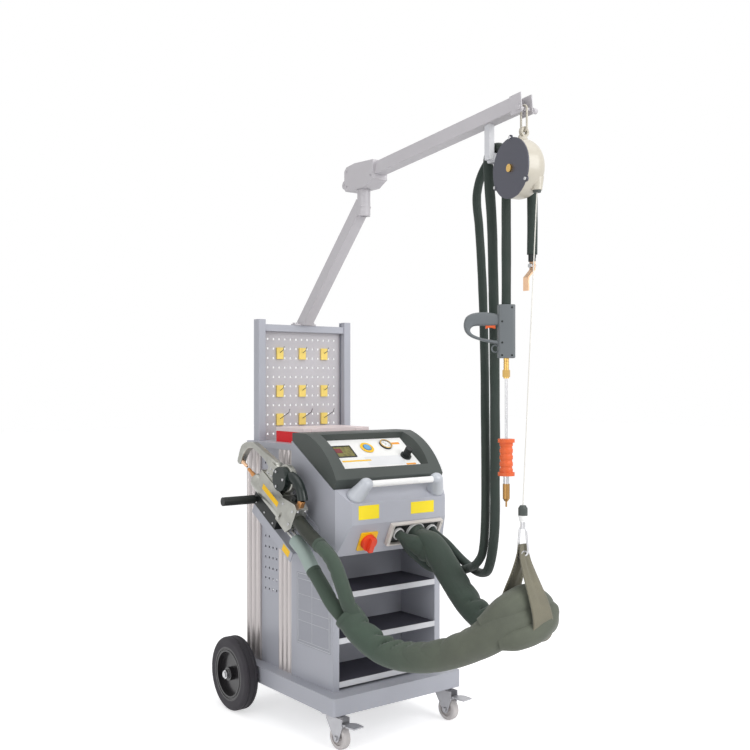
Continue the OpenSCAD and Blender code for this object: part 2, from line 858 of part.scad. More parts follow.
module bay_liner() {
  h = bay_top - tray_top;
  color(grey_paint) placed() {
    for (side = [-1, 1]) translate([side > 0 ? bay_half : -bay_half - sheet, cab_front + 14, tray_top])
      cube([sheet, bay_d + sheet - 14, h]);
    translate([-bay_half, bay_back, tray_top]) cube([2 * bay_half, sheet, h]);
    translate([-half_w + sheet, cab_front + sheet, bay_top]) cube([cab_w - 2 * sheet, bay_d, sheet]);
  }
}

module each_shelf() {
  for (z = [shelf_low, shelf_mid, shelf_high]) translate([0, 0, z]) children();
}

module shelves() {
  plate = mat_t + sheet;
  color(light_grey) placed() each_shelf() {
    translate([-bay_half, cab_front, -lip_h]) cube([2 * bay_half, sheet, lip_h]);
    translate([-bay_half, cab_front, -plate]) cube([2 * bay_half, bay_d, sheet]);
    translate([-bay_half, cab_front + 12, -lip_h]) cube([2 * bay_half, sheet, lip_h - plate + eps]);
    translate([-bay_half, cab_front, -lip_h]) cube([2 * bay_half, 14, sheet]);
  }
}

module shelf_mats() {
  color("#23222b") placed() each_shelf()
    translate([-bay_half + 1, cab_front + sheet + seat_gap, -mat_t])
      cube([2 * bay_half - 2, bay_d - sheet - 2, mat_t]);
}

module top_deck() {
  color(grey_paint) placed() difference() {
    translate([-half_w, mid_front, pillar_top]) cube([cab_w, cab_rear - mid_front, deck_t]);
    translate([-half_w + 30, mid_front + 30, pillar_top - 1])
      cube([cab_w - 60, cab_rear - mid_front - 60, deck_t - sheet + 1]);
  }
}

module transformer() {
  core = [180, 120, 200];
  window = [50, 130];
  color("#6a5a48") placed() translate([-core[0] / 2, bay_back + 60, tray_top]) {
    difference() {
      cube(core);
      for (x = [20, core[0] - 20 - window[0]])
        translate([x, -1, 35]) cube([window[0], core[1] + 2, window[1]]);
    }
    translate([22, -22, 37]) difference() {
      cube([core[0] - 44, core[1] + 44, window[1] - 4]);
      translate([window[0] - 2.5, 21.5, -1]) cube([core[0] - 2 * window[0] - 39, core[1] + 1, window[1]]);
    }
  }
}

// Nose and console
module nose_block(inset) {
  back = cab_front - seat_gap + (inset > 0 ? 1 : 0);
  w = cab_w / 2 - inset;
  hull() {
    translate([-nose_w / 2 + inset, inset, band_low + inset / 2])
      cube([nose_w - 2 * inset, eps, band_high - band_low - inset]);
    translate([-w, nose_d, bay_top + inset]) cube([2 * w, back - nose_d, nose_top - bay_top - 2 * inset]);
  }
}

module nose_housing() {
  color(grey_paint) placed() difference() {
    nose_block(0);
    nose_block(nose_wall);
  }
}

module hood2d() {
  intersection() {
    polygon([[hood_front, nose_top], [lip_front, lip_z], [lip_front, hood_top], [hood_rear, hood_top],
             [hood_rear, hood_back_z]]);
    translate([crown_y, crown_cz]) circle(r = hood_r, $fn = 96);
  }
}

module console_hood() {
  gap = seat_gap;
  color(dark_grey) difference() {
    placed() along_x(-half_w, half_w) hood2d();
    placed() along_x(-half_w + 8, half_w - 8) polygon([
      [panel_y + 8, nose_top], [panel_y + 8, panel_z - 6], [panel_y + 118, panel_z + 70],
      [hood_rear - 10, hood_back_z - 10], [hood_rear - 10, hood_back_z - 40]]);
    on_panel() translate([-panel_w / 2 + panel_ledge, panel_ledge, -40])
      cube([panel_w - 2 * panel_ledge, panel_l - 2 * panel_ledge, 40]);
    on_panel() hull() {
      translate([-panel_w / 2 - gap, -gap, -panel_t]) cube([panel_w + 2 * gap, panel_l + 2 * gap, eps]);
      translate([-panel_w / 2 - 26, -34, 60]) cube([panel_w + 52, panel_l + 60, eps]);
    }
  }
}

module control_panel() {
  color("#e9e9ea") on_panel() difference() {
    union() {
      translate([-panel_w / 2, 0, -panel_t]) cube([panel_w, panel_l, panel_t]);
      translate([display_at[0], display_at[1], -eps]) linear_extrude(2 + eps) difference() {
        rounded2d(display_w, display_l, 3);
        square([display_w - 8, display_l - 8], center = true);
      }
      translate([button_at[0], button_at[1], -eps]) cylinder(d = button_d + 16, h = 2);
    }
    translate([button_at[0], button_at[1], -panel_t - 1])
      cylinder(d = button_d + 2 * move_gap, h = panel_t + 6);
    translate([gauge_at[0], gauge_at[1], -panel_t - 1])
      cylinder(d = gauge_d - 6 + 2 * seat_gap, h = panel_t + 2);
    translate([knob_at[0], knob_at[1], -panel_t - 1]) cylinder(d = 10 + 2 * seat_gap, h = panel_t + 2);
  }
}

module panel_button() {
  color("#3f8fd8") on_panel() translate([button_at[0], button_at[1], 0]) difference() {
    translate([0, 0, -panel_t + button_travel + 0.2]) cylinder(d = button_d, h = panel_t + 3);
    translate([0, 0, 42 + button_travel + 3]) sphere(r = 42);
  }
}

module pressure_gauge() {
  color("#2a2c2e") on_panel() translate([gauge_at[0], gauge_at[1], 0]) difference() {
    union() {
      translate([0, 0, -panel_t - 5]) cylinder(d = gauge_d - 6, h = panel_t + 5 + eps);
      cylinder(d = gauge_d, h = 6);
    }
    translate([0, 0, 3]) cylinder(d = gauge_d - 8, h = 4);
  }
}

module regulator_knob() {
  color(black) on_panel() translate([knob_at[0], knob_at[1], move_gap]) {
    cylinder(d = knob_d + 12, h = 6);
    difference() {
      cylinder(d = knob_d, h = knob_h);
      for (a = [0:30:330]) rotate([0, 0, a]) translate([knob_d / 2 + 1, 0, 8]) cylinder(d = 4, h = knob_h);
    }
    translate([0, 0, -panel_t - 3]) cylinder(d = 10 - 2 * run_gap + 2 * seat_gap, h = panel_t + 3 + eps);
  }
}

module main_switch_plate() {
  color(yellow) on_lower_face() translate([switch_at[0], switch_at[1], 0]) difference() {
    union() {
      rounded_block(switch_plate, switch_plate, 4, 5);
      cylinder(d = switch_boss_d, h = 4 + switch_boss_h);
    }
    translate([0, 0, 1]) cylinder(d = switch_stem_d + 2 * run_gap, h = 12);
  }
}

module main_switch_knob() {
  z0 = 4 + switch_boss_h + move_gap;
  color(red) on_lower_face() translate([switch_at[0], switch_at[1], 0]) {
    translate([0, 0, z0]) cylinder(d = switch_d, h = 10);
    translate([0, 0, 4 + move_gap]) difference() {
      cylinder(d = switch_d, h = switch_boss_h + eps);
      translate([0, 0, -1]) cylinder(d = switch_boss_d + 2 * move_gap, h = switch_boss_h + 2);
    }
    intersection() {
      translate([0, 0, z0 + 10 - eps]) cylinder(d = switch_d - 4, h = 14);
      translate([-9, -switch_d, z0]) cube([18, 2 * switch_d, 40]);
    }
    translate([0, 0, 1 + move_gap]) cylinder(d = switch_stem_d, h = z0);
  }
}

module outlet_frame() {
  color(light_grey) on_lower_face() translate([outlet_at[0], outlet_at[1], 0]) difference() {
    union() {
      linear_extrude(outlet_t) difference() {
        rounded2d(outlet_w, outlet_h, 4);
        rounded2d(outlet_w - 22, outlet_h - 10, 3);
      }
      rounded_block(outlet_w - 8, outlet_h - 8, 3, 3);
      for (i = [0:2]) translate([port_x[i], 0, 0]) linear_extrude(outlet_t - 2) difference() {
        circle(r = min(port_r[i], outlet_h / 2 - 5.5));
        circle(r = min(port_r[i], outlet_h / 2 - 5.5) - ring_w);
      }
    }
    for (sx = [-1, 1], sy = [-1, 1])
      translate([sx * (outlet_w / 2 - 5.5), sy * (outlet_h / 2 - 14), 3]) cylinder(d = 4, h = outlet_t);
  }
}

module handle_tube() {
  color("#f0f1f4") placed() translate([0, -handle_out, handle_z])
    rod_x(handle_d, -handle_l / 2 - 24, handle_l / 2 + 24);
}

module handle_brackets() {
  mid = handle_l / 2 + barrel_l / 2;
  foot_y = nose_d / 2 - 2;
  foot_z = band_high + foot_y * tan(upper_tilt);
  color("#b4b9c2") placed() for (side = [-1, 1]) translate([side * mid, 0, 0]) difference() {
    hull() {
      translate([0, -handle_out, handle_z]) rotate([0, 90, 0])
        cylinder(d = handle_d + 13, h = barrel_l, center = true, $fn = 32);
      translate([side * 5, foot_y, foot_z]) rotate([upper_tilt, 0, 0]) cylinder(d = 46, h = 6, $fn = 32);
    }
    translate([0, -handle_out, handle_z]) mirror([side > 0 ? 1 : 0, 0, 0])
      rod_x(handle_d + 2 * seat_gap, -2.5 - seat_gap, barrel_l);
  }
}

// Tool box and pegboard
module tool_box() {
  color(red) placed() translate([box_x, box_rear - box_d / 2, deck_z]) difference() {
    rounded_block(box_w, box_d, box_h, 4);
    for (i = [-1.5:1:1.5]) translate([i * (box_w / 4 - 1), 0, box_wall])
      rounded_block(box_w / 4 - 2 * box_wall, box_d - 2 * box_wall, box_h, 3);
  }
}

module tool_box_lid() {
  hinge_d = 8;
  color("#f4d9d6", 0.6) placed() translate([box_x, box_rear - box_d / 2, deck_z + box_h + move_gap]) {
    difference() {
      rounded_block(box_w, box_d, lid_h, 4);
      translate([0, 0, -1])
        rounded_block(box_w - 2 * box_wall, box_d - 2 * box_wall, lid_h - box_wall + 1, 3);
    }
    for (side = [-1, 1]) translate([side * box_w / 3, -box_d / 2 - 2, 0]) rounded_block(30, 5, lid_h - 3, 2);
    for (side = [-1, 1]) translate([side * box_w / 3, box_d / 2 + hinge_d / 2 - 1, hinge_d / 2])
      rod_x(hinge_d, -20, 20);
  }
}

module pegboard_frame() {
  color(grey_paint) placed() {
    for (side = [-1, 1]) translate([side * (peg_w - upright_w) / 2, upright_y + upright_d / 2, deck_z])
      difference() {
        rounded_block(upright_w, upright_d, peg_h, 3);
        translate([-side * upright_w / 2, 8, 20]) cube([14, 12, 2 * peg_h], center = true);
      }
    translate([-peg_w / 2 + upright_w - eps, upright_y + 6, bar_z])
      cube([peg_w - 2 * upright_w + 2 * eps, upright_d - 6, bar_h]);
  }
}

module pegboard_panel() {
  w = peg_w - 2 * upright_w - 2 * seat_gap;
  y = peg_panel_y;
  color(grey_paint) placed() along_y(y - sheet, y) difference() {
    translate([-w / 2, deck_z]) square([w, bar_z - deck_z]);
    for (col = [0:peg_cols - 1], row = [0:peg_rows - 1])
      let (z = peg_top_row - row * peg_hole_z)
      if (z > deck_z + 12)
        translate([(col - (peg_cols - 1) / 2) * peg_hole_x, z]) square(hole_w, center = true);
  }
}

module peg_hooks() {
  color(yellow) placed() for (col = hook_cols, row = hook_rows)
    translate([col * peg_hole_x, peg_panel_y - sheet - seat_gap, peg_top_row + (row[0] - 0.5) * peg_hole_z]) {
      translate([0, -hook_t / 2, -hook_h / 2]) rounded_block(hook_w, hook_t, hook_h, 2);
      rotate([-22, 0, 0]) rod_y(wire_d, -row[1], -hook_t / 2);
      translate([0, -row[1] * cos(22), row[1] * sin(22)]) {
        sphere(d = wire_d + 0.4);
        rotate([25, 0, 0]) cylinder(d = wire_d, h = 14);
      }
    }
}

// Mast, boom and what hangs on it
module mast() {
  run = [0, -mast_lean, pivot_z - sleeve_h / 2 - mast_foot_z];
  lean = atan2(mast_lean, run[2]);
  color(grey_paint) placed() {
    difference() {
      union() {
        translate([0, mast_foot_y, mast_foot_z]) rounded_block(90, upright_d - 2, flange_t, 4);
        intersection() {
          translate([0, mast_foot_y, mast_foot_z]) rotate([lean, 0, 0])
            translate([-mast_w / 2, -mast_w / 2, -60]) cube([mast_w, mast_w, norm(run) + 60]);
          translate([-200, -1000, mast_foot_z + 1]) cube([400, 3000, 3000]);
        }
        translate([0, pivot_y, pivot_z - sleeve_h]) cylinder(d = sleeve_d, h = sleeve_h);
      }
      translate([0, pivot_y, pivot_z - sleeve_h - 50]) cylinder(d = pivot_pin_d, h = 60);
    }
    translate([0, pivot_y, pivot_z - eps]) cylinder(d = pivot_pin_d, h = 60);
    for (sx = [-1, 1], sy = [-1, 1])
      translate([sx * 36, mast_foot_y + sy * 10, mast_foot_z + flange_t - eps])
        cylinder(d = 9, h = 5, $fn = 6);
  }
}

module pivot_bracket() {
  z0 = pivot_z + move_gap;
  color(grey_paint) on_boom() difference() {
    union() {
      along_y(-bracket_w / 2, bracket_w / 2) polygon([
        [-bracket_rear + 8, z0], [-bracket_rear, z0 + 8], [-bracket_rear, z0 + bracket_h - 18],
        [-bracket_rear + 12, z0 + bracket_h - 6], [-12, z0 + bracket_h], [bracket_front, z0 + bracket_h - 4],
        [bracket_front, z0 + 22], [bracket_front - 42, z0]]);
      for (s = [-1, 1]) translate([-bracket_rear - 10, s * 18 - 4, z0 + 26]) rotate([-90, 0, 0])
        cylinder(d = 28, h = 8);
      for (s = [-1, 1]) translate([-bracket_rear - 10, s * 18 - 4, z0 + 12]) cube([20, 8, 28]);
    }
    translate([0, 0, z0 - 1]) cylinder(d = pivot_pin_d + 2 * run_gap, h = 62);
    for (s = [-1, 1]) translate([-bracket_rear - 10, s * 18 - 5, z0 + 26]) rotate([-90, 0, 0])
      cylinder(d = 9, h = 10);
    translate([0, 0, boom_z]) rotate([0, -boom_rise, 0])
      translate([boom_start, -boom_w / 2 - seat_gap, -boom_h / 2 - seat_gap])
        cube([200, boom_w + 2 * seat_gap, boom_h + 2 * seat_gap]);
    for (s = [-1, 1], at = [[-bracket_rear + 14, 16], [-bracket_rear + 14, 66], [bracket_front - 12, 34]])
      translate([at[0], s * (bracket_w / 2), z0 + at[1]]) rotate([90, 0, 0])
        cylinder(d = 8, h = 4, center = true);
  }
}

module boom_tube() {
  l = boom_reach / cos(boom_rise) + ear_drop * sin(boom_rise);
  color(grey_paint) on_boom() {
    translate([0, 0, boom_z]) rotate([0, -boom_rise, 0]) {
      difference() {
        translate([boom_start + seat_gap, -boom_w / 2, -boom_h / 2])
          cube([l - yoke_l / 2 - boom_start - 7, boom_w, boom_h]);
        translate([boom_start + 6, -boom_w / 2 + boom_wall, -boom_h / 2 + boom_wall])
          cube([l, boom_w - 2 * boom_wall, boom_h - 2 * boom_wall]);
      }
      for (s = [-1, 1])
        translate([l - yoke_l, s * (boom_w / 2 + ear_t / 2 - eps) - ear_t / 2, -boom_h / 2 - 13])
          cube([yoke_l + 9, ear_t, boom_h + 15]);
    }
    translate([boom_reach, 0, tip_z]) {
      rod_y(tip_pin_d, -boom_w / 2 - ear_t - 3, boom_w / 2 + 14);
      rod_y(16, boom_w / 2 + 13, boom_w / 2 + 27);
      rod_y(16, -boom_w / 2 - ear_t - 4, -boom_w / 2 - ear_t + eps);
    }
  }
}

module cable_hanger() {
  color(grey_paint) on_boom() {
    difference() {
      translate([hanger_s - hanger_w / 2, -hanger_w / 2, saddle_z - 4]) cube([hanger_w, hanger_w, 160]);
      translate([0, -boom_w, boom_z - boom_h / 2 / cos(boom_rise) - seat_gap]) rotate([0, -boom_rise, 0])
        cube([2 * boom_reach, 2 * boom_w, 200]);
    }
    translate([hanger_s, 0, saddle_z]) difference() {
      union() {
        rod_y(2 * saddle_r, hanger_w / 2 - eps, saddle_len);
        rod_y(2 * saddle_r + 16, saddle_len - 4, saddle_len);
      }
      rod_y(2 * saddle_r - 6, hanger_w / 2 + 5, saddle_len + 1);
      translate([-100, -1, -100 - 8]) cube([200, saddle_len + 2, 100]);
    }
  }
}

module at_balancer() {
  at_tip() translate([0, balancer_y, 0]) rotate([0, 0, -balancer_turn]) children();
}

module balancer_axis() {
  at_balancer() translate([-balancer_w / 2, 0, balancer_z]) rotate([0, 90, 0]) children();
}

// Domed profile of the housing, thinner all round by the given wall
module housing2d(wall) {
  r = balancer_d / 2;
  flat = balancer_w - bal_round;
  square([r - wall, flat]);
  square([r - bal_round, balancer_w - wall]);
  intersection() {
    translate([r - bal_round, flat]) circle(r = bal_round - wall);
    square([r, balancer_w]);
  }
}

module balancer_housing() {
  r = balancer_d / 2;
  color("#cfcbbb") {
    difference() {
      union() {
        balancer_axis() rotate_extrude() housing2d(0);
        at_balancer() translate([nozzle_x, -drum_r, nozzle_low]) {
          cylinder(d1 = nozzle_d, d2 = nozzle_d + 10, h = 36);
          translate([0, 0, -6]) cylinder(d = nozzle_d - 6, h = 7);
        }
        at_tip() translate([0, balancer_y, balancer_z + r - 8]) cylinder(d1 = 40, d2 = 20, h = 20);
        at_tip() translate([0, 0, eye_z]) rotate([0, 0, -boom_turn])
          translate([-5, 0, 0]) rotate([0, 90, 0]) cylinder(d = 30, h = 10);
      }
      balancer_axis() translate([0, 0, -eps]) rotate_extrude() housing2d(bal_wall);
      at_tip() translate([0, 0, eye_z]) rotate([0, 0, -boom_turn]) rod_x(16, -30, 30);
      at_balancer() translate([nozzle_x, -drum_r, nozzle_low - 2]) cylinder(d = 10, h = 52);
      placed() translate(rope_top - 20 * rope_up) along_rope() cylinder(d = rope_d + 2 * seat_gap, h = 40);
    }
    balancer_axis() translate([0, 0, 2]) cylinder(d = drum_pin_d, h = balancer_w - 6);
    on_boom() translate([boom_reach, 0, 0]) shackle();
  }
}

// Wire loop from the balancer's eye up over the tip pin
module shackle() {
  low = eye_z + shackle_half + 2;
  high = tip_z + tip_pin_d / 2 + shackle_d / 2 + 1 - shackle_half;
  for (s = [-1, 1]) translate([s * shackle_half, 0, low]) cylinder(d = shackle_d, h = high - low);
  for (end = [[low + eps, -90], [high - eps, 90]]) translate([0, 0, end[0]]) rotate([90, 0, 0])
    rotate([0, 0, end[1] - 90]) rotate_extrude(angle = 180)
      translate([shackle_half, 0]) circle(d = shackle_d);
}

module balancer_cover() {
  r = balancer_d / 2 + cover_rim;
  color("#565a63") balancer_axis() {
    translate([0, 0, -cover_t - seat_gap]) difference() {
      union() {
        cylinder(r = r, h = cover_t);
        for (a = cover_ears) rotate([0, 0, a]) translate([r, 0, 0]) cylinder(d = 16, h = cover_t);
      }
      translate([0, 0, -1]) cylinder(d = 12, h = cover_t + 2);
    }
    translate([0, 0, -cover_t - 6]) cylinder(d = 22, h = 6 - seat_gap);
    for (a = cover_ears) rotate([0, 0, a]) translate([r, 0, -cover_t - 4]) cylinder(d = 9, h = 4);
  }
}

module balancer_drum() {
  color("#8f9094") balancer_axis() translate([0, 0, drum_gap]) rotate_extrude() difference() {
    square([drum_r + 7, drum_w]);
    translate([0, -1]) square([drum_pin_d / 2 + run_gap, drum_w + 2]);
    translate([drum_r - rope_d / 2, 5]) square([20, drum_w - 10]);
  }
}

module along_rope() {
  rotate([0, acos(rope_up[2]), atan2(rope_up[1], rope_up[0])]) children();
}

module balancer_rope() {
  l = norm(rope_top - rope_low);
  color("#e8e8e4") placed() translate(rope_low + move_gap * rope_up)
    along_rope() cylinder(d = rope_d, h = l + 24);
}

module rope_hook() {
  color(dark_grey) placed() translate([sling_x, sling_y, 0]) {
    translate([0, 0, stopper_z - 28]) cylinder(d = stopper_d, h = 20);
    translate([0, 0, stopper_z - 8 - eps]) cylinder(d1 = stopper_d, d2 = 16, h = 8);
    translate([0, 0, stopper_z - 46]) cylinder(d1 = 17, d2 = stopper_d, h = 18 + eps);
    translate([0, 0, carabiner_top - 5]) cylinder(d = 13, h = stopper_z - 44 - carabiner_top + 5);
    rotate([0, 0, -60]) carabiner();
  }
}

module carabiner() {
  bend = 9;
  high = carabiner_top - bend;
  low = carabiner_low + carabiner_half - 3;
  for (end = [[high - eps, 0, bend], [low + eps, 180, carabiner_half]])
    translate([0, 0, end[0]]) rotate([90, 0, 0]) rotate([0, 0, end[1]])
      rotate_extrude(angle = 180) translate([end[2], 0]) circle(d = carabiner_d);
  for (s = [-1, 1]) {
    lean = atan2(carabiner_half - bend, high - low);
    translate([s * carabiner_half, 0, low]) rotate([0, -s * lean, 0])
      cylinder(d = carabiner_d, h = norm([high - low, carabiner_half - bend]));
    for (end = [[bend, high], [carabiner_half, low]])
      translate([s * end[0], 0, end[1]]) sphere(d = carabiner_d + 0.4);
  }
}

// The sling's loop, seen along x: a drop shape round the main sleeve
function sling_side(t) =
  let (c = sling_low + sling_half, top = eyelet_z + 30, s = t * t * (3 - 2 * t))
  [sling_half * (1 - s) + (sling_t / 2 + 0.6) * s, c + (top - c) * t];

function sling_path() = concat(
  [for (i = [7:-1:1]) let (q = sling_side(i / 7)) [q[0], q[1]]],
  [for (a = [0:18:180]) [sling_half * cos(a), sling_low + sling_half - (sling_half - sling_t / 2) * sin(a)]],
  [for (i = [1:7]) let (q = sling_side(i / 7)) [-q[0], q[1]]]
);

function sling_width(z) =
  let (mid = sling_low + 2 * sling_half, top = eyelet_z + 30)
  z < mid ?
    sling_band + (sling_mid_band - sling_band) * max(0, (z - sling_low - 10) / (mid - sling_low - 10)) :
    sling_mid_band + (sling_top_band - sling_mid_band) * (z - mid) / (top - mid);

// How far the band has moved to the right, from none at the eyelet
function sling_lean(z) = sling_shift * max(0, eyelet_z - z) / (eyelet_z - sling_low);

module sling_band_solid() {
  path = sling_path();
  n = len(path);
  points = [
    for (i = [0:n - 1])
      let (d = unit(path[min(i + 1, n - 1)] - path[max(i - 1, 0)]), out = [d[1], -d[0]],
           w = sling_width(path[i][1]) / 2, q = path[i])
      for (c = [[-1, -1], [1, -1], [1, 1], [-1, 1]])
        [sling_lean(q[1]) + c[0] * w, q[0] + c[1] * out[0] * sling_t / 2, q[1] + c[1] * out[1] * sling_t / 2]
  ];
  walls = [
    for (i = [0:n - 2], k = [0:3], half = [0, 1])
      let (a = 4 * i + k, b = 4 * i + (k + 1) % 4)
      half == 0 ? [a, a + 4, b] : [b, a + 4, b + 4]
  ];
  polyhedron(points, concat(walls, [[0, 1, 2, 3]], [[for (k = [3:-1:0]) 4 * (n - 1) + k]]));
}

module cable_sling() {
  color("#7d7c68") placed() translate([sling_x, sling_y, 0]) difference() {
    sling_band_solid();
    translate([0, 0, eyelet_z]) rod_y(eyelet_d, -20, 20);
  }
}

// Stud gun
module stud_profile() {
  round_x = grip_reach - grip_half;
  finger_z = grip_low + 8;
  difference() {
    union() {
      translate([-stud_w / 2, 0]) square([stud_w, stud_h]);
      translate([0, grip_low]) square([round_x, 2 * grip_half]);
      translate([round_x, grip_low + grip_half]) circle(r = grip_half);
    }
    translate([stud_w / 2 + 5, finger_z]) square([round_x - stud_w / 2 - 5, finger_h]);
    translate([round_x, finger_z + finger_h / 2]) circle(d = finger_h);
  }
}

module stud_gun_body() {
  color("#5d6166") at_stud() difference() {
    union() {
      translate([0, stud_t / 2, 0]) rotate([90, 0, 0]) linear_extrude(stud_t)
        translate([-stud_w / 2, 0]) square([stud_w, stud_h]);
      translate([0, grip_t / 2, 0]) rotate([90, 0, 0]) linear_extrude(grip_t) difference() {
        stud_profile();
        translate([-stud_w, -1]) square([1.5 * stud_w - 5, stud_h + 2]);
      }
      translate([stud_w / 2 + 7, 3, 27]) rotate([90, 0, 0]) difference() {
        cylinder(r = 12, h = 6);
        translate([0, 0, -1]) cylinder(r = 8, h = 8);
      }
    }
    translate([stud_w / 2 + 7 - move_gap, -trigger_w / 2 - move_gap, grip_low + 8 + finger_h - 1])
      cube([trigger_l + 2 * move_gap, trigger_w + 2 * move_gap, trigger_travel + 4]);
    translate([0, 0, -1]) cylinder(d = rod_d + 6, h = 16);
  }
}

module stud_gun_trigger() {
  color("#f08a6a") at_stud()
    translate([stud_w / 2 + 7, trigger_w / 2, grip_low + 8 + finger_h - trigger_h + 2]) rotate([90, 0, 0])
      linear_extrude(trigger_w) difference() {
        square([trigger_l, trigger_h]);
        translate([trigger_l / 2, -22]) circle(r = 25);
      }
}

module hammer_rod() {
  low = hammer_z - stud_z;
  color(brass) at_stud() {
    difference() {
      translate([0, 0, -chuck_l]) cylinder(d = chuck_d - 6, h = chuck_l - seat_gap);
      for (i = [0:3]) translate([0, 0, -8 - i * 7]) rotate_extrude()
        translate([chuck_d / 2 - 2, 0]) circle(d = 4);
    }
    translate([0, 0, -chuck_l + 4]) cylinder(d = chuck_d, h = 20, $fn = 6);
    translate([0, 0, low - collar_l]) cylinder(d = rod_d, h = -chuck_l - low + collar_l + 1);
    translate([0, 0, low - collar_l]) cylinder(d = collar_d, h = collar_l - move_gap);
    translate([0, 0, low - collar_l - tip_l]) cylinder(d = tip_d, h = tip_l + eps);
    translate([0, 0, low - collar_l - tip_l - 8]) cylinder(d1 = 10, d2 = tip_d, h = 8 + eps);
    translate([0, 0, low - collar_l - tip_l - pin_l]) cylinder(d = 5, h = pin_l);
  }
}

module slide_hammer() {
  color("#ef5a2a") at_stud() translate([0, 0, hammer_z - stud_z]) rotate_extrude() difference() {
    union() {
      square([hammer_d / 2 - 5, hammer_l]);
      for (z = [0, hammer_l - 10]) translate([0, z]) square([hammer_d / 2, 10]);
    }
    translate([0, -1]) square([rod_d / 2 + run_gap, hammer_l + 2]);
    for (i = [0:3]) translate([hammer_d / 2 + 1, 24 + i * 19]) circle(r = 8);
  }
}

module ground_lug() {
  color(copper) placed() translate(lug_top) {
    translate([0, 0, -20]) difference() {
      cylinder(d = 22, h = 20 - move_gap);
      translate([3, -20, -1]) cube([40, 40, 12]);
    }
    along_y(-lug_w / 2, lug_w / 2) polygon([
      [3, -18], [3, -44], [lug_step + lug_t, -68], [lug_step + lug_t, -104], [lug_step, -104],
      [lug_step, -66], [3 - lug_t, -42], [3 - lug_t, -18]]);
    translate([1, 0, -32]) {
      rod_x(8, -12, 12);
      for (x = [-12, 4]) translate([x, 0, 0]) rotate([0, 90, 0]) cylinder(d = 14, h = 6, $fn = 6);
    }
  }
}

// C-gun and its holder
module c_gun_body() {
  color(steel) at_gun() difference() {
    union() {
      rod_x(gun_d, gun_start, gun_front);
      rod_x(gun_d - 14, gun_front - eps, gun_front + 12);
      along_y(-22, 22) polygon([
        [block_rear + 22, -gun_d / 2], [block_rear, 4], [block_rear, upper_top + 8],
        [block_rear + 20, upper_top + 16], [block_front, upper_top - 6], [block_front, -gun_d / 2 + 4]]);
      translate([block_front - 1, -22, 0]) cube([gun_front - 30 - block_front, 44, upper_top]);
      for (s = [-1, 1]) translate([0, 4 + s * 9, lead_rod_z]) rod_x(8, lead_rod_x, block_rear + 40);
    }
    rod_x(stem_d + 2 * run_gap, gun_front - 60, gun_front + 40);
    translate([trigger_at - 8 - move_gap, -6 - move_gap, upper_top - 20])
      cube([16 + 2 * move_gap, 12 + 2 * move_gap, 60]);
  }
}

module c_gun_arm() {
  z0 = upper_top + seat_gap;
  color(steel) at_gun() {
    along_y(-arm_w / 2, arm_w / 2) polygon([
      [cap_x + 52, z0], [cap_x + 106, z0], [arm_x - 28, gun_throat + 5], [arm_x - 8, gun_throat - 22],
      [arm_x, gun_throat - 40], [arm_x, -12], [arm_x + 22, -12], [arm_x + 26, 34], [arm_x + 25, 54],
      [arm_x + 8, gun_throat + 10], [arm_x - 32, gun_throat + 36], [cap_x + 58, gun_throat + 60],
      [cap_x + 44, gun_throat + 46]]);
    rod_x(13, arm_x - tip_len, arm_x + 4);
  }
}

module c_gun_electrode() {
  color(copper) at_gun() {
    rod_x(stem_d, gun_front - 30, gun_front + stem_out);
    translate([gun_front + stem_out - eps, 0, 0]) rotate([0, 90, 0]) cylinder(d1 = stem_d, d2 = 12, h = 12);
    rod_x(12, gun_front + stem_out + 11, electrode_x);
  }
}

module c_gun_grips() {
  color(black) at_gun() {
    difference() {
      translate([block_front + 2, -24, lower_low]) cube([gun_front - 20 - block_front, 34, lower_h + 12]);
      rod_x(gun_d + 2 * seat_gap, 0, gun_front + 20);
    }
    translate([gun_front - 36, 0, lower_low + 22]) {
      rod_y(18, 9, side_out + 6);
      rod_y(side_handle_d, side_out, side_out + side_handle_l);
    }
    translate([cap_x, 0, cap_z]) rod_y(cap_d, -14, 28);
    translate([cap_x - 54, 4, cap_z - 54]) rotate([90, 0, 0]) rotate([0, 0, 72])
      rotate_extrude(angle = 70) translate([grip_r, 0]) circle(r = 17);
    for (a = [90, 210, 330]) translate([cap_x, 0, cap_z]) rotate([0, a, 0])
      translate([27, 0, 0]) rod_y(9, 27, 32);
  }
}

module c_gun_trigger() {
  color("#3a3d3f") at_gun() translate([trigger_at - 8, -6, upper_top - 10]) cube([16, 12, 34]);
}

module gun_holder() {
  y0 = -gun_out + seat_gap;
  low = lower_low - seat_gap;
  color(grey_paint) at_gun() {
    translate([16, y0, low - 36]) cube([290, holder_t, 126]);
    translate([24, y0, low - holder_t]) cube([276, gun_out + ledge_out, holder_t]);
    translate([24, ledge_out - holder_t, low - 34]) cube([276, holder_t, 34]);
  }
}

// Cords
module main_sleeve() {
  start = lower_point(outlet_at[0] + port_x[1], outlet_at[1], 3 + seat_gap);
  out = lower_point(outlet_at[0] + port_x[1], outlet_at[1], outlet_t + 12);
  p = concat([start, out], main_route);
  r = [for (i = [0:len(p) - 1])
    i < 2 ? main_port_d / 2 - 6 : i == 2 ? main_port_d / 2 + 2 : main_d / 2 + main_swell[i - 2]];
  color(cloth_green) placed() swept_tube(p, r, 12);
}

module gun_sleeves() {
  color(cloth_green) placed() for (p = [gun_route_high, gun_route_low])
    swept_tube(p, even_radii(p, gun_sleeve_d));
}

function lead_start(port) =
  [for (out = [3 + seat_gap, outlet_t + 14]) lower_point(outlet_at[0] + port_x[port], outlet_at[1], out)];

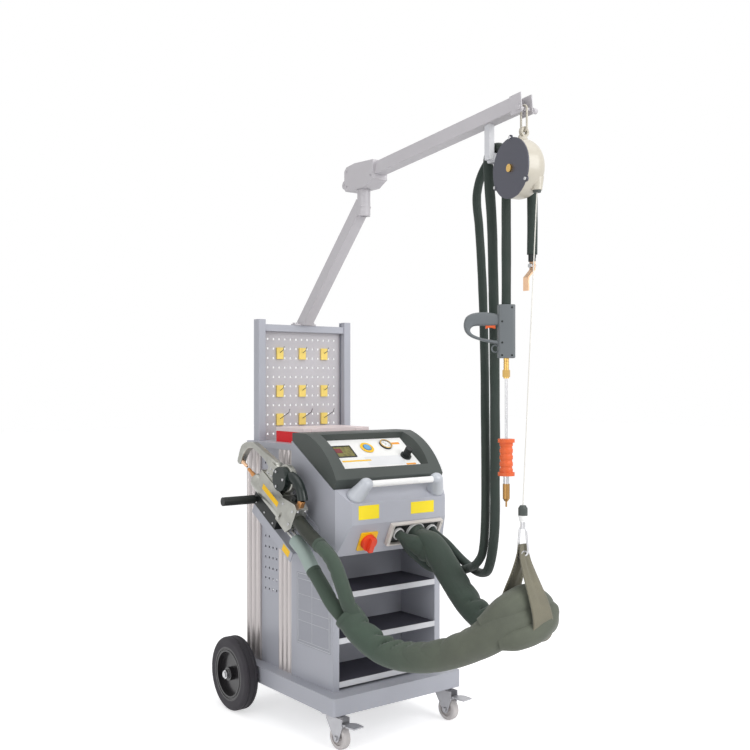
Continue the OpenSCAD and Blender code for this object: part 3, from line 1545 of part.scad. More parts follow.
module lead_sleeves() {
  a = concat(lead_start(2), lead_route_a,
    [for (t = [0:45:180]) on_boom_at(hanger_s - lead_arc * cos(t), lead_b[0], saddle_z + lead_arc * sin(t))],
    [for (z = [saddle_z - 120, saddle_z - 280, stud_z + stud_h + move_gap]) [stud_at[0], stud_at[1], z]]);
  b = concat(lead_start(0), lead_route_b,
    [for (q = saddle_wide) on_boom_at(hanger_s + q[0], lead_b[1], saddle_z + q[1])],
    [lug_top]);
  color(cloth_green) placed() for (p = [a, b]) swept_tube(p, even_radii(p, lead_d));
}

base_tray();
rear_axle();
rear_tyre_left();
rear_tyre_right();
rear_hub_left();
rear_hub_right();
caster_plates();
caster_fork_left();
caster_fork_right();
caster_wheel_left();
caster_wheel_right();
caster_brake_left();
caster_brake_right();
side_pillars();
cabinet_panels();
bay_liner();
shelves();
shelf_mats();
top_deck();
nose_housing();
console_hood();
control_panel();
panel_button();
pressure_gauge();
regulator_knob();
main_switch_plate();
main_switch_knob();
outlet_frame();
handle_tube();
handle_brackets();
tool_box();
tool_box_lid();
pegboard_frame();
pegboard_panel();
peg_hooks();
mast();
pivot_bracket();
boom_tube();
cable_hanger();
balancer_housing();
balancer_cover();
balancer_drum();
balancer_rope();
rope_hook();
cable_sling();
stud_gun_body();
stud_gun_trigger();
hammer_rod();
slide_hammer();
ground_lug();
c_gun_body();
c_gun_arm();
c_gun_electrode();
c_gun_grips();
c_gun_trigger();
gun_holder();
transformer();
main_sleeve();
gun_sleeves();
lead_sleeves();
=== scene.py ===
"""Looks of the trolley spot welder: camera, cloth, cords, finishes and small fittings round the CAD frame.

Places are written in millimetres in the welder's own frame, x to the right, y to the back, z up, with the
tray's front edge at y = 0.
"""
import json
import math

import bpy
from mathutils import Matrix, Vector, noise

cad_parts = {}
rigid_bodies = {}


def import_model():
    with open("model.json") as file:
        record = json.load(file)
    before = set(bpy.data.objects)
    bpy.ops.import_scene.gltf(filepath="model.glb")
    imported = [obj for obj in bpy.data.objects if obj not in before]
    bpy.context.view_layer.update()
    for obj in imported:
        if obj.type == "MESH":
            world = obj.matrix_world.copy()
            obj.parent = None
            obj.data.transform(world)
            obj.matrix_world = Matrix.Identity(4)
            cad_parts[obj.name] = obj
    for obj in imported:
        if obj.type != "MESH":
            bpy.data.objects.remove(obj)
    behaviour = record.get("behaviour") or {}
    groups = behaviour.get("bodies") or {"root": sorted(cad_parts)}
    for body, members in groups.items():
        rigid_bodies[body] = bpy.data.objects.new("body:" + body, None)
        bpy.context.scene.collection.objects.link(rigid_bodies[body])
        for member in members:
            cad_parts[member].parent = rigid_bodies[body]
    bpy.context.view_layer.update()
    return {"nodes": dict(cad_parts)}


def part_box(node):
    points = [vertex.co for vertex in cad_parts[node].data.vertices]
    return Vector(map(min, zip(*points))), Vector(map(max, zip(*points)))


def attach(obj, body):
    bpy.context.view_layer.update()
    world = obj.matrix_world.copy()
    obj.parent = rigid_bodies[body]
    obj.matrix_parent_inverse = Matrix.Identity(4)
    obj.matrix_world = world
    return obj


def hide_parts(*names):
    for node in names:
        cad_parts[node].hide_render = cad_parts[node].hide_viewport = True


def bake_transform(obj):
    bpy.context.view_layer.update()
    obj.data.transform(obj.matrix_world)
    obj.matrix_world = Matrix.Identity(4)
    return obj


for leftover in list(bpy.data.objects):
    bpy.data.objects.remove(leftover)
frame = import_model()
nodes = frame["nodes"]

MM = 0.001
tray_lo, tray_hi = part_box("base_tray")
ORIGIN = Vector(((tray_lo.x + tray_hi.x) / 2, tray_lo.y, 0))


def turn(degrees, axis):
    return Matrix.Rotation(math.radians(degrees), 4, axis)


def shift(x, y, z):
    return Matrix.Translation((x, y, z))


# Frames of the welder's main faces, from millimetres to the part's metres
WELDER = Matrix.Translation(ORIGIN) @ Matrix.Scale(MM, 4)
PANEL = WELDER @ shift(0, 84, 850) @ turn(36, "X")
LOWER_DEEP, LOWER_HIGH = 50, 101
LOWER_TILT = math.degrees(math.atan2(LOWER_DEEP, LOWER_HIGH))
LOWER = WELDER @ shift(0, 0, 688) @ turn(90 + LOWER_TILT, "X")
GUN_X = -280
GUN = WELDER @ shift(GUN_X, 128, 637) @ turn(29.6, "X") @ turn(90, "Z")
SLING_X, SLING_Y = 2, -540.5
BALANCER = WELDER @ shift(0, SLING_Y, 1719) @ turn(-10, "Z")


def place(p):
    """A point of the welder's frame, in the part's frame."""
    return ORIGIN + Vector([v * MM for v in p])


def new_object(name, data):
    obj = bpy.data.objects.new(name, data)
    bpy.context.collection.objects.link(obj)
    return obj


# Camera
camera = new_object("camera", bpy.data.cameras.new("camera"))
camera.location = place((-1973, -2466, 1132.4))
camera.rotation_euler = (math.radians(90), 0, math.radians(-37.2))
camera.data.sensor_width = 36
camera.data.lens = 47.352
camera.data.shift_y = 0.00907
bpy.context.scene.camera = camera


# Mesh helpers
def mesh_object(name, verts, faces, smooth=False):
    mesh = bpy.data.meshes.new(name)
    mesh.from_pydata([tuple(v) for v in verts], [], faces)
    mesh.polygons.foreach_set("use_smooth", [smooth] * len(mesh.polygons))
    mesh.update()
    return new_object(name, mesh)


def ring_faces(rings, m):
    """Faces between each ring of m points and the next."""
    corners = [(i * m, k, (k + 1) % m) for i in range(rings - 1) for k in range(m)]
    return [(i + k, i + q, i + m + q, i + m + k) for i, k, q in corners]


def end_faces(rings, m):
    """The two faces that close the first and the last ring of m points."""
    return [tuple(range(m))[::-1], tuple((rings - 1) * m + k for k in range(m))]


def numbered_from(first, faces):
    return [tuple(first + i for i in face) for face in faces]


def smooth_run(route, sizes, step):
    """Points and radii in metres, about a step apart, along a smooth curve through a route."""
    pts = [place(p) for p in route]
    ends = [2 * pts[0] - pts[1]] + pts + [2 * pts[-1] - pts[-2]]
    out, radii = [], []
    for i in range(1, len(ends) - 2):
        p0, p1, p2, p3 = ends[i - 1 : i + 3]
        span = (p2 - p1).length
        k = max(2, math.ceil(span / (step * MM)))
        a = (p2 - p0) * span / ((p1 - p0).length + span)
        b = (p3 - p1) * span / (span + (p3 - p2).length)
        for j in range(k):
            t = j / k
            h = (2 * t**3 - 3 * t**2 + 1, t**3 - 2 * t**2 + t, -2 * t**3 + 3 * t**2, t**3 - t**2)
            out.append(h[0] * p1 + h[1] * a + h[2] * p2 + h[3] * b)
            e = t * t * (3 - 2 * t)
            radii.append((sizes[i - 1] * (1 - e) + sizes[i] * e) * MM)
    return out + [pts[-1]], radii + [sizes[-1] * MM]


class Tube:
    """A swept tube kept as a grid of rings, so that it can be cut into pieces with matching ends."""

    def __init__(self, points, radii, sides, form=None):
        self.points = points
        n = len(points)
        along = [(points[min(i + 1, n - 1)] - points[max(i - 1, 0)]).normalized() for i in range(n)]
        side = along[0].cross((0, 0, 1))
        if side.length < 0.1:
            side = along[0].cross((1, 0, 0))
        side.normalize()
        self.at = [0]
        for a, b in zip(points, points[1:]):
            self.at.append(self.at[-1] + (b - a).length)
        self.rings = []
        for i, p in enumerate(points):
            side = (side - along[i] * side.dot(along[i])).normalized()
            up = along[i].cross(side)
            lo, hi = max(i - 2, 0), min(i + 2, n - 1)
            bend = (along[hi] - along[lo]) / max(self.at[hi] - self.at[lo], 1e-6)
            ring = []
            for k in range(sides):
                a = 2 * math.pi * k / sides
                out = side * math.cos(a) + up * math.sin(a)
                r = radii[i]
                if form:
                    r *= form(self.at[i], a, bend.length * radii[i], out.dot(bend.normalized()))
                ring.append(p + out * r)
            self.rings.append(ring)
        self.radii, self.sides = radii, sides

    def piece(self, name, lo=0, hi=None, caps=True):
        """A mesh of the rings from lo to hi, with normals taken from the whole tube."""
        hi = len(self.rings) - 1 if hi is None else hi
        m, rings = self.sides, self.rings
        verts, normals, uvs = [], [], []
        for i in range(lo, hi + 1):
            a, b = rings[max(i - 1, 0)], rings[min(i + 1, len(rings) - 1)]
            for k in range(m):
                verts.append(rings[i][k])
                nrm = (rings[i][(k + 1) % m] - rings[i][k - 1]).cross(b[k] - a[k])
                normals.append(nrm.normalized())
        faces = ring_faces(hi - lo + 1, m)
        for i in range(lo, hi):
            width = 2 * math.pi * self.radii[i] / m
            u0, u1 = self.at[i], self.at[i + 1]
            for v0, v1 in ((k * width, (k + 1) * width) for k in range(m)):
                uvs += [(u0, v0), (u0, v1), (u1, v1), (u1, v0)]
        if caps:
            faces += end_faces(hi - lo + 1, m)
            uvs += [(0, 0)] * (2 * m)
        obj = mesh_object(name, verts, faces, smooth=True)
        layer = obj.data.uv_layers.new(name="cloth")
        layer.data.foreach_set("uv", [c for uv in uvs for c in uv])
        obj.data.normals_split_custom_set_from_vertices(normals)
        return obj


def nearest(tube, p):
    """The number of the ring nearest to a point of the welder's frame."""
    p = place(p)
    return min(range(len(tube.points)), key=lambda i: (tube.points[i] - p).length)


def sleeve_form(seed, ripple=0.03, fold=0.9, gap=0.046, flat=None):
    """A cloth sleeve's surface, as a factor of its radius: slack ripples, creases, and folds inside bends."""
    def form(s, a, bend, inward):
        def wander(rate, wide, x=seed, y=0):
            return noise.noise(Vector((s * rate + x, math.cos(a) * wide + y, math.sin(a) * wide)))
        slack, fine, drift = wander(9, 1.3), wander(34, 2.6), wander(7, 0.7, 0, seed)
        crest = abs(math.sin(math.pi * s / gap + 2.6 * drift)) ** 0.55
        crease = max(0, 1 - abs(wander(3.5, 1.9)) / 0.09)
        loose = min(1, s / 0.06)
        wide = flat(s) * math.cos(2 * a) if flat else 0
        folds = fold * min(0.28, bend) * max(0, inward + 0.3) / 1.3 * (crest - 0.8) * (1 + 0.5 * drift)
        return 1 + loose * (wide + ripple * slack + 0.35 * ripple * fine - 0.6 * ripple * crease + folds)
    return form


# The main sleeve, from its port through the sling to the gun's two sleeves
main_route = [
    (72, 17.2, 646.3), (72, -3.3, 636.1), (74, -64, 618), (77, -105, 580), (81, -150, 530), (86, -195, 480),
    (92, -240, 440), (99, -295, 412), (106, -355, 410), (112, -415, 424), (112, -468, 443),
    (100, -510, 458), (68, -536, 470), (28, -543, 476), (-12, -542, 477), (-50, -533, 467),
    (-86, -498, 434), (-113, -434, 394), (-140, -355, 358), (-172, -262, 338), (-205, -180, 345),
    (-232, -112, 384), (-249, -58, 432),
]
main_sizes = [
    30.6, 30.8, 38, 42, 42, 42, 42, 43, 46, 49, 51, 53, 54, 54, 54, 52, 50, 46, 44, 43, 42, 42, 42,
]
MAIN_SIDES, BEND_SIDES, BEND_STEP = 64, 48, 6
SLING_MID = 6
main_form = sleeve_form(3.1, fold=1.7, gap=0.055, flat=lambda s: 0.2 * max(0, 1 - s / 0.42))
main = Tube(*smooth_run(main_route, main_sizes, 8), MAIN_SIDES, main_form)
cut = [nearest(main, p) for p in ((100, -510, 458), (SLING_MID, -542.5, 477.2), (-80, -506, 442))]
main_pieces = [
    main.piece("main_sleeve_port", 0, cut[0]),
    main.piece("main_sleeve_sling_right", cut[0], cut[1], caps=False),
    main.piece("main_sleeve_sling_left", cut[1], cut[2], caps=False),
    main.piece("main_sleeve_gun", cut[2]),
]
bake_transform(main_pieces[0])
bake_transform(main_pieces[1])
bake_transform(main_pieces[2])
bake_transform(main_pieces[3])
for piece in main_pieces:
    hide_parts("main_sleeve")

# The sleeve's flare to the left port, and its hump and hanging fold in the sling
flare_route = [
    (3, 10, 642.5), (6, -6, 634), (30, -30, 614), (55, -58, 598), (70, -85, 583), (78, -120, 556),
]
flare_sizes = [14.6, 18, 30, 36, 36, 32]
flare_tube = Tube(*smooth_run(flare_route, flare_sizes, BEND_STEP), BEND_SIDES, sleeve_form(7.3, 0.05))
flare = flare_tube.piece("main_sleeve_flare")
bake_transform(flare)
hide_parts("main_sleeve")
hump_route = [
    (-95, -490, 455), (-50, -530, 505), (SLING_MID, -541, 527), (30, -541, 525), (65, -541, 505),
    (88, -535, 470),
]
fold_route = [
    (-85, -535, 430), (-50, -568, 438), (SLING_MID, -580, 452), (45, -578, 468), (78, -563, 490),
    (92, -540, 496),
]
bend_left, bend_right = [], []
for name, route, sizes, seed in (
    ("hump", hump_route, [34, 43, 45, 44, 42, 36], 4.4),
    ("fold", fold_route, [28, 34, 36, 35, 32, 26], 6.1),
):
    tube = Tube(*smooth_run(route, sizes, BEND_STEP), BEND_SIDES, sleeve_form(seed, 0.05))
    half = nearest(tube, route[2])
    bend_left.append(tube.piece(f"main_sleeve_{name}_left", 0, half))
    bend_right.append(tube.piece(f"main_sleeve_{name}_right", half))
    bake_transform(bend_left[-1])
    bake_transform(bend_right[-1])
main_hem = Tube(main.points[-3:], [0.0435, 0.0442, 0.0438], BEND_SIDES).piece("main_sleeve_hem")
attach(main_hem, "base")

# The gun's two sleeves, from the gun's rear down into the main sleeve
GUN_D, GUN_SIDES, LEAD_STEP = 44, 32, 7
gun_high = [
    (-280, 163, 691), (-280, 111, 661), (-280, 52, 634), (-281, 0, 612), (-280, -36, 582),
    (-277, -58, 545), (-270, -72, 505), (-256, -80, 460), (-226, -88, 424),
]
gun_low = [
    (-284, 176, 630), (-285, 126, 602), (-286, 72, 552), (-285, 15, 504), (-281, -20, 468),
    (-266, -38, 440), (-236, -48, 404),
]
gun_sleeves, hems, hose_end = [], [], []
for name, route, seed, hem_at in (
    ("gun_sleeve_high", gun_high, 8.2, (-280, 45, 631)),
    ("gun_sleeve_low", gun_low, 5.7, (-286, 66, 547)),
):
    form = sleeve_form(seed, 0.035, 1.3, 0.036, lambda s: 0.05)
    tube = Tube(*smooth_run(route, [GUN_D / 2] * len(route), LEAD_STEP), GUN_SIDES, form)
    piece = tube.piece(name)
    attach(piece, "base")
    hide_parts("gun_sleeves")
    gun_sleeves.append(piece)
    k = nearest(tube, hem_at)
    hem = Tube(tube.points[k - 1 : k + 2], [0.0232, 0.0236, 0.0232], GUN_SIDES)
    hems.append(hem.piece(name + "_hem"))
    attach(hems[-1], "base")
    hose_end.append(k)

# The two leads, from their ports up to the hanger and down to the stud gun and the ground lug
HANG_Y, HANG_Z, HANG_R = -409.5, 1772, 37
LEAD_D, LEAD_SIDES = 28, 24
lead_a = [
    (140, 17.2, 646.3), (140, -5.1, 635.2), (146, -55, 610), (168, -105, 562), (170, -165, 536),
    (148, -225, 538), (118, -280, 560), (98, -318, 615), (88, -340, 700), (80, -350, 850),
    (72, -358, 1050), (62, -366, 1250), (54, -370, 1430), (44, -374, 1600),
]
saddle_a = [
    (31, HANG_Y + HANG_R * math.cos(t * math.pi / 4), HANG_Z + HANG_R * math.sin(t * math.pi / 4))
    for t in range(5)
]
drop_a = [(31, -446.5, z) for z in (1652, 1492, 1353.4)]
lead_b = [
    (3, 17.2, 646.3), (3, -5.1, 635.2), (14, -26, 600), (40, -44, 570), (74, -58, 542), (108, -82, 530),
    (140, -128, 532), (134, -185, 551), (108, -240, 574), (91, -285, 616), (82, -305, 700),
    (78, -312, 850), (76, -312, 1050), (76, -308, 1250), (76, -300, 1430), (74, -288, 1600),
    (72, -280, 1690),
]
over_b = ((-112, -24), (-70, 20), (-10, 38), (40, 28), (80, -14), (97, -82))
saddle_b = [(72, HANG_Y - q, HANG_Z + h) for q, h in over_b]
drop_b = [(72, -509.5, 1600), (72, -508.5, 1493)]
leads = []
for name, riser, over, seed, fitting in (
    ("lead_stud", lead_a, saddle_a + drop_a, 1.4, None),
    ("lead_ground", lead_b, saddle_b + drop_b, 6.6, "ground_lug"),
):
    route = riser + over
    form = sleeve_form(seed, 0.05, 0.6, 0.03, lambda s: 0.07)
    tube = Tube(*smooth_run(route, [LEAD_D / 2] * len(route), LEAD_STEP), LEAD_SIDES, form)
    k = nearest(tube, riser[-1])
    up, down = tube.piece(name + "_riser", 0, k), tube.piece(name + "_drop", k)
    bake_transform(up)
    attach(down, "boom")
    for piece in (up, down):
        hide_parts("lead_sleeves")
        leads.append(piece)

# The balancer's rope, from its nozzle to the hook above the sling
rope_low, rope_top = place((SLING_X, SLING_Y, 791.4)), place((-1.8, -597, 1653))
rope_way = rope_top - rope_low
rope_run = [rope_low + rope_way * (i / 90) for i in range(91)]
rope_run.append(rope_top + rope_way.normalized() * 0.024)
ROPE_D, ROPE_SIDES = 3, 10
rope = Tube(rope_run, [ROPE_D / 2 * MM] * len(rope_run), ROPE_SIDES).piece("balancer_rope_line")
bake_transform(rope)
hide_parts("balancer_rope")

# The sling: a cloth band looped under the main sleeve and gathered at its eyelet
SLING_LOW, SLING_HALF, EYELET_Z, CLOTH_T = 405, 67, 654, 3.4
SLING_TOP = EYELET_Z + 30
SLING_W, WAIST_W, TOP_W = 84, 68, 28


def sling_line():
    """The loop's line as (y, z), from the eyelet's back round under the sleeve to its front."""
    centre = SLING_LOW + SLING_HALF
    side = []
    for i in range(1, 25):
        t = i / 24
        s = t * t * (3 - 2 * t)
        side.append((SLING_HALF * (1 - s) + 2.6 * s, centre + (SLING_TOP - centre) * t))
    under = [
        (SLING_HALF * math.cos(math.radians(a)), centre - (SLING_HALF - 2) * math.sin(math.radians(a)))
        for a in range(0, 181, 6)
    ]
    return side[::-1] + under + [(-y, z) for y, z in side]


def sling_width(z):
    """The band's width at a height: full below, narrower beside the sleeve, gathered at the eyelet."""
    waist = SLING_LOW + 2 * SLING_HALF
    if z < waist:
        return SLING_W - (SLING_W - WAIST_W) * max(0, (z - SLING_LOW - 10) / (waist - SLING_LOW - 10))
    return WAIST_W - (WAIST_W - TOP_W) * (z - waist) / (SLING_TOP - waist)


def make_sling():
    """The band, the stitches along its hems, and its length in metres."""
    line, across = sling_line(), 14
    outer, inner, uv = [], [], []
    s = 0
    for i, (y, z) in enumerate(line):
        a, b = line[max(i - 1, 0)], line[min(i + 1, len(line) - 1)]
        d = Vector((b[0] - a[0], b[1] - a[1])).normalized()
        out = Vector((d.y, -d.x))
        s += math.dist(a, (y, z)) if i else 0
        lean = 14 * max(0, EYELET_Z - z) / (EYELET_Z - SLING_LOW)
        w = sling_width(z)
        gather = min(1, max(0, (z - 500) / 150))
        loose = 1 if z < EYELET_Z - 14 else 0.15
        for layer, sign in ((outer, 1), (inner, -1)):
            for k in range(across + 1):
                u = k / across * 2 - 1
                fold = gather * (1 - 0.6 * abs(u)) * 2.2 * math.sin(u * 7 + 0.8) * loose
                slack = 1.6 * noise.noise(Vector((u * 1.7, s / 60, 4.0))) * min(1, gather + 0.25)
                hem = 0.7 if abs(u) > 0.86 else 0
                off = sign * (CLOTH_T / 2 - 0.5 + hem) + max(-1, fold) + slack
                p = Vector((SLING_X + lean + u * w / 2, SLING_Y + y + out.x * off, z + out.y * off))
                layer.append(WELDER @ p)
                if layer is outer:
                    uv.append((s * MM, u * w / 2 * MM))
    n, m = len(line), across + 1
    faces, far = [], len(outer)
    for i in range(n - 1):
        for k in range(across):
            a, b, c, d = i * m + k, i * m + k + 1, (i + 1) * m + k + 1, (i + 1) * m + k
            faces += [(a, b, c, d), (far + d, far + c, far + b, far + a)]
        for k in (0, across):
            a, d = i * m + k, (i + 1) * m + k
            edge = (a, d, far + d, far + a)
            faces.append(edge if k == 0 else edge[::-1])
    for i in (0, n - 1):
        for k in range(across):
            a, b = i * m + k, i * m + k + 1
            edge = (b, a, far + a, far + b)
            faces.append(edge if i == 0 else edge[::-1])
    band = mesh_object("sling_band", outer + inner, faces, smooth=True)
    layer = band.data.uv_layers.new(name="cloth")
    layer.data.foreach_set("uv", [c for face in faces for i in face for c in uv[i % far]])
    sewn, sides = [], []
    for k in (1, across - 1):
        for i in range(n - 1):
            a, b = outer[i * m + k], outer[(i + 1) * m + k]
            out = (a - inner[i * m + k]).normalized() * 0.0004
            wide = (outer[i * m + k + 1] - outer[i * m + k - 1]).normalized() * 0.0005
            corners = ((-wide, -out), (wide, -out), (wide, out), (-wide, out))
            sides += numbered_from(len(sewn), ring_faces(2, 4))
            sewn += [e + w + h for e in (a.lerp(b, 0.2), a.lerp(b, 0.8)) for w, h in corners]
    return band, mesh_object("sling_stitches", sewn, sides), s * MM


sling, stitches, sling_length = make_sling()
for piece in (sling, stitches):
    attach(piece, "sling")
    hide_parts("cable_sling")


def rgb(hexcode):
    """A colour as it is seen on screen, in the linear values that shaders use."""
    parts = [int(hexcode[i : i + 2], 16) / 255 for i in (1, 3, 5)]
    return tuple(c / 12.92 if c <= 0.04045 else ((c + 0.055) / 1.055) ** 2.4 for c in parts) + (1,)


class Nodes:
    """A short way to write the node tree of a new material or world."""

    def __init__(self, name, world=False):
        self.owner = (bpy.data.worlds if world else bpy.data.materials).new(name)
        self.owner.use_nodes = True
        self.tree = self.owner.node_tree
        self.shader = self.tree.nodes["Background" if world else "Principled BSDF"]

    def add(self, kind, inputs=(), **settings):
        node = self.tree.nodes.new("ShaderNode" + kind)
        for key, value in settings.items():
            setattr(node, key, value)
        for key, value in dict(inputs).items():
            self.put(node.inputs[key], value)
        return node

    def put(self, socket, value):
        """Link a socket to another node's output, or set its plain value."""
        if isinstance(value, bpy.types.NodeSocket):
            self.tree.links.new(value, socket)
        else:
            socket.default_value = value

    def set(self, **inputs):
        """The shader's inputs, named with underscores for spaces."""
        for key, value in inputs.items():
            self.put(self.shader.inputs[key.replace("_", " ")], value)

    def noise(self, scale, detail=3, stretch=(1, 1, 1)):
        where = self.add("TexCoord").outputs["Object"]
        if stretch != (1, 1, 1):
            where = self.add("Mapping", {"Vector": where, "Scale": stretch}).outputs["Vector"]
        tex = self.add("TexNoise", {"Vector": where, "Scale": scale, "Detail": detail})
        return tex.outputs["Fac"]

    def crevices(self, reach=0.02):
        """1 on open faces, down to 0 in corners and folds: the mask for painted shade."""
        return self.add("AmbientOcclusion", {"Distance": reach}, samples=6, only_local=True).outputs["AO"]

    def between(self, fac, low, high, lo=0.3, hi=0.7):
        """low and high mixed by a texture's value, which is spread over its middle range first."""
        ramp = self.add("MapRange", {"Value": fac, "From Min": lo, "From Max": hi})
        if not isinstance(low, (float, int)):
            return self.mix(ramp.outputs["Result"], low, high)
        self.put(ramp.inputs["To Min"], low)
        self.put(ramp.inputs["To Max"], high)
        return ramp.outputs["Result"]

    def mix(self, fac, low, high, blend="MIX"):
        """Two colours mixed, in the colour sockets of a node that also mixes values."""
        inputs = {"Factor": fac, 6: low, 7: high}
        return self.add("Mix", inputs, data_type="RGBA", blend_type=blend).outputs[2]

    def relief(self, height, strength, distance=0.0005, below=None):
        inputs = {"Height": height, "Strength": strength, "Distance": distance}
        if below is not None:
            inputs["Normal"] = below
        return self.add("Bump", inputs).outputs["Normal"]

    def in_view(self):
        """1 for camera rays and for the glossy and transmitted rays that mirror them, else 0."""
        path = self.add("LightPath").outputs
        seen = path["Is Camera Ray"]
        for kind in ("Is Glossy Ray", "Is Transmission Ray"):
            seen = self.add("Math", {0: seen, 1: path[kind]}, operation="MAXIMUM").outputs["Value"]
        return seen


SOFT_EDGE = 0.0012
WAVE_BAND = 0.314  # a wave texture's band at scale 1


def tinted(colour, change):
    return tuple(min(1, c * change) for c in colour[:3]) + (1,)


def painted(
    name, colour, rough, grain, depth, change=0.94, patch=6, metal=0, coat=0, stretch=(1, 1, 1),
    rubbed=1.12, spec=0.5, crevice_shade=0,
):
    """Powder coat, plastic or plain metal: patchy tone and gloss, a fine grain, and soft rubbed edges.

    grain and patch are noise scales, depth is the grain's strength, and change and rubbed are the tones of
    patches and edges as factors of the colour. The last argument is painted shade: corners and crevices,
    found by ambient occlusion, darkened to that factor of the colour.
    """
    n = Nodes(name)
    base = rgb(colour)
    broad = n.noise(patch, 4)
    fine = n.noise(grain, 2, stretch)
    soft = n.add("Bevel", {"Radius": SOFT_EDGE}, samples=4).outputs["Normal"]
    plain = n.add("NewGeometry").outputs["Normal"]
    turned = n.add("VectorMath", {0: soft, 1: plain}, operation="DOT_PRODUCT").outputs["Value"]
    tone = n.between(broad, tinted(base, change), base)
    # painted shade: corners and crevices darkened by ambient occlusion
    if crevice_shade:
        tone = n.between(n.crevices(), tinted(base, crevice_shade), tone, 0.25, 0.9)
    n.set(
        Base_Color=n.between(turned, tinted(base, rubbed), tone, 0.86, 0.985),
        Roughness=n.between(broad, rough * 0.88, rough * 1.12),
        Metallic=metal,
        Coat_Weight=coat,
        Specular_IOR_Level=spec,
        Normal=n.relief(fine, depth, 0.0002, soft),
    )
    return n.owner


def cloth(name, colour, pitch=0.0016, shine=0.15, change=0.76, fade=None, fade_from=-0.2, fade_to=-0.48):
    """Woven cloth: crossed threads from the piece's own cloth coordinates, over rubbed patches,
    with painted shade in its folds.

    A second tone, where one is given, takes over from y = fade_from to fade_to, in metres: towards the front.
    """
    n = Nodes(name)
    base = rgb(colour)
    where = n.add("TexCoord").outputs["UV"]
    wave = {"Vector": where, "Scale": WAVE_BAND / pitch, "Distortion": 0.6, "Detail": 1}
    threads = [n.add("TexWave", wave, bands_direction=way).outputs["Fac"] for way in ("X", "Y")]
    weave = n.add("Math", {0: threads[0], 1: threads[1]}, operation="MULTIPLY").outputs["Value"]
    worn = n.noise(14, 5)
    soft = n.noise(70, 3)
    tone = n.between(worn, tinted(base, change), tinted(base, 1.12))
    if fade:
        # the second tone, lighter, towards the front
        rubbed = n.between(worn, tinted(rgb(fade), change), tinted(rgb(fade), 1.1))
        along = n.add("SeparateXYZ", {0: n.add("TexCoord").outputs["Object"]}).outputs["Y"]
        tone = n.between(along, rubbed, tone, fade_to, fade_from)
    # painted shade: the cloth darkened in its folds and where it meets other parts
    tone = n.between(n.crevices(0.03), tinted(base, 0.3), tone, 0.2, 0.85)
    gaps = n.between(weave, 0.35, 0.0, 0, 1)
    n.set(
        Base_Color=n.mix(gaps, tone, tinted(base, 0.35), "MULTIPLY"),
        Roughness=n.between(worn, 0.72, 0.9),
        Sheen_Weight=shine,
        Sheen_Roughness=0.5,
        Normal=n.relief(soft, 0.25, 0.002, n.relief(weave, 0.35, 0.0004)),
    )
    return n.owner


def ribbed(name, colour, pitch, rough):
    """Rubber sheet with ribs across x."""
    n = Nodes(name)
    base = rgb(colour)
    where = n.add("TexCoord").outputs["Object"]
    wave = {"Vector": where, "Scale": WAVE_BAND / pitch}
    ribs = n.add("TexWave", wave, bands_direction="X").outputs["Fac"]
    dust = n.noise(9, 5)
    n.set(
        Base_Color=n.between(dust, base, tinted(base, 1.7)),
        Roughness=n.between(dust, rough, rough * 1.15),
        Normal=n.relief(ribs, 0.5, 0.0012, n.relief(n.noise(800), 0.15, 0.0003)),
    )
    return n.owner


def clear(name, colour, rough, solid):
    """Clear or frosted plastic: the share of light that it stops is `solid`."""
    n = Nodes(name)
    haze = n.noise(26, 4)
    n.set(
        Base_Color=n.between(haze, tinted(rgb(colour), 0.97), rgb(colour)),
        Roughness=n.between(haze, rough, rough * 1.8),
        Alpha=solid,
        Normal=n.relief(n.noise(300), 0.06, 0.0002),
    )
    return n.owner


def brushed(name, colour, rough):
    """Turned or drawn metal, with fine streaks along it."""
    n = Nodes(name)
    base = rgb(colour)
    streaks = n.noise(60, 4, (1, 30, 30))
    broad = n.noise(18, 3)
    n.set(
        Base_Color=n.between(broad, tinted(base, 0.9), base),
        Metallic=1.0,
        Roughness=n.between(streaks, rough * 0.75, rough * 1.3),
        Normal=n.relief(streaks, 0.08, 0.0002),
    )
    return n.owner


def lit(name, colour, low, strength):
    """A display's faintly glowing face."""
    n = Nodes(name)
    cells = n.noise(120, 1)
    n.set(
        Base_Color=n.between(cells, rgb(low), rgb(colour)),
        Roughness=n.between(cells, 0.15, 0.22),
        Emission_Color=rgb(colour),
        Emission_Strength=strength,
    )
    return n.owner


hood = painted("hood_plastic", "#414744", 0.5, 1500, 0.3, 0.9)
white_panel = painted("panel_white", "#f2f2f0", 0.3, 500, 0.03, 0.98)
black = painted("black_plastic", "#1c201f", 0.45, 1200, 0.25, 0.85, spec=0.35)
gloss_black = painted("black_gloss_plastic", "#182320", 0.32, 600, 0.05, 0.8, spec=0.4)
label_yellow = painted("yellow_label", "#fbc814", 0.45, 500, 0.04, 0.96)
bright_label = painted("bright_yellow_label", "#fbe21c", 0.45, 500, 0.04, 0.96)
glass = clear("gauge_glass", "#ffffff", 0.03, 0.08)
white_tube = painted("white_tube", "#f6f6f5", 0.28, 500, 0.04, 0.97, coat=0.3)
steel = brushed("bare_steel", "#c9c9cb", 0.28)
dull_steel = brushed("dull_steel", "#8f9092", 0.42)
# the cast alloy's last factor darkens its corners as painted shade
alloy = painted("cast_alloy", "#b4b4ad", 0.3, 420, 0.5, 0.7, 24, metal=0.9, rubbed=1.5, crevice_shade=0.3)
copper = brushed("copper_tip", "#cf9560", 0.3)
pale_copper = brushed("lug_copper", "#efc7a4", 0.34)
brass = brushed("brass_metal", "#d9b36c", 0.28)
bronze = brushed("bronze_tip", "#a8814f", 0.35)
gun_grey = painted("gun_grey", "#6b7073", 0.45, 1300, 0.3, 0.9, spec=0.35)
FRONT_GREEN = "#696e60"
sleeve_green = cloth("sleeve_cloth", "#48594c", fade=FRONT_GREEN)
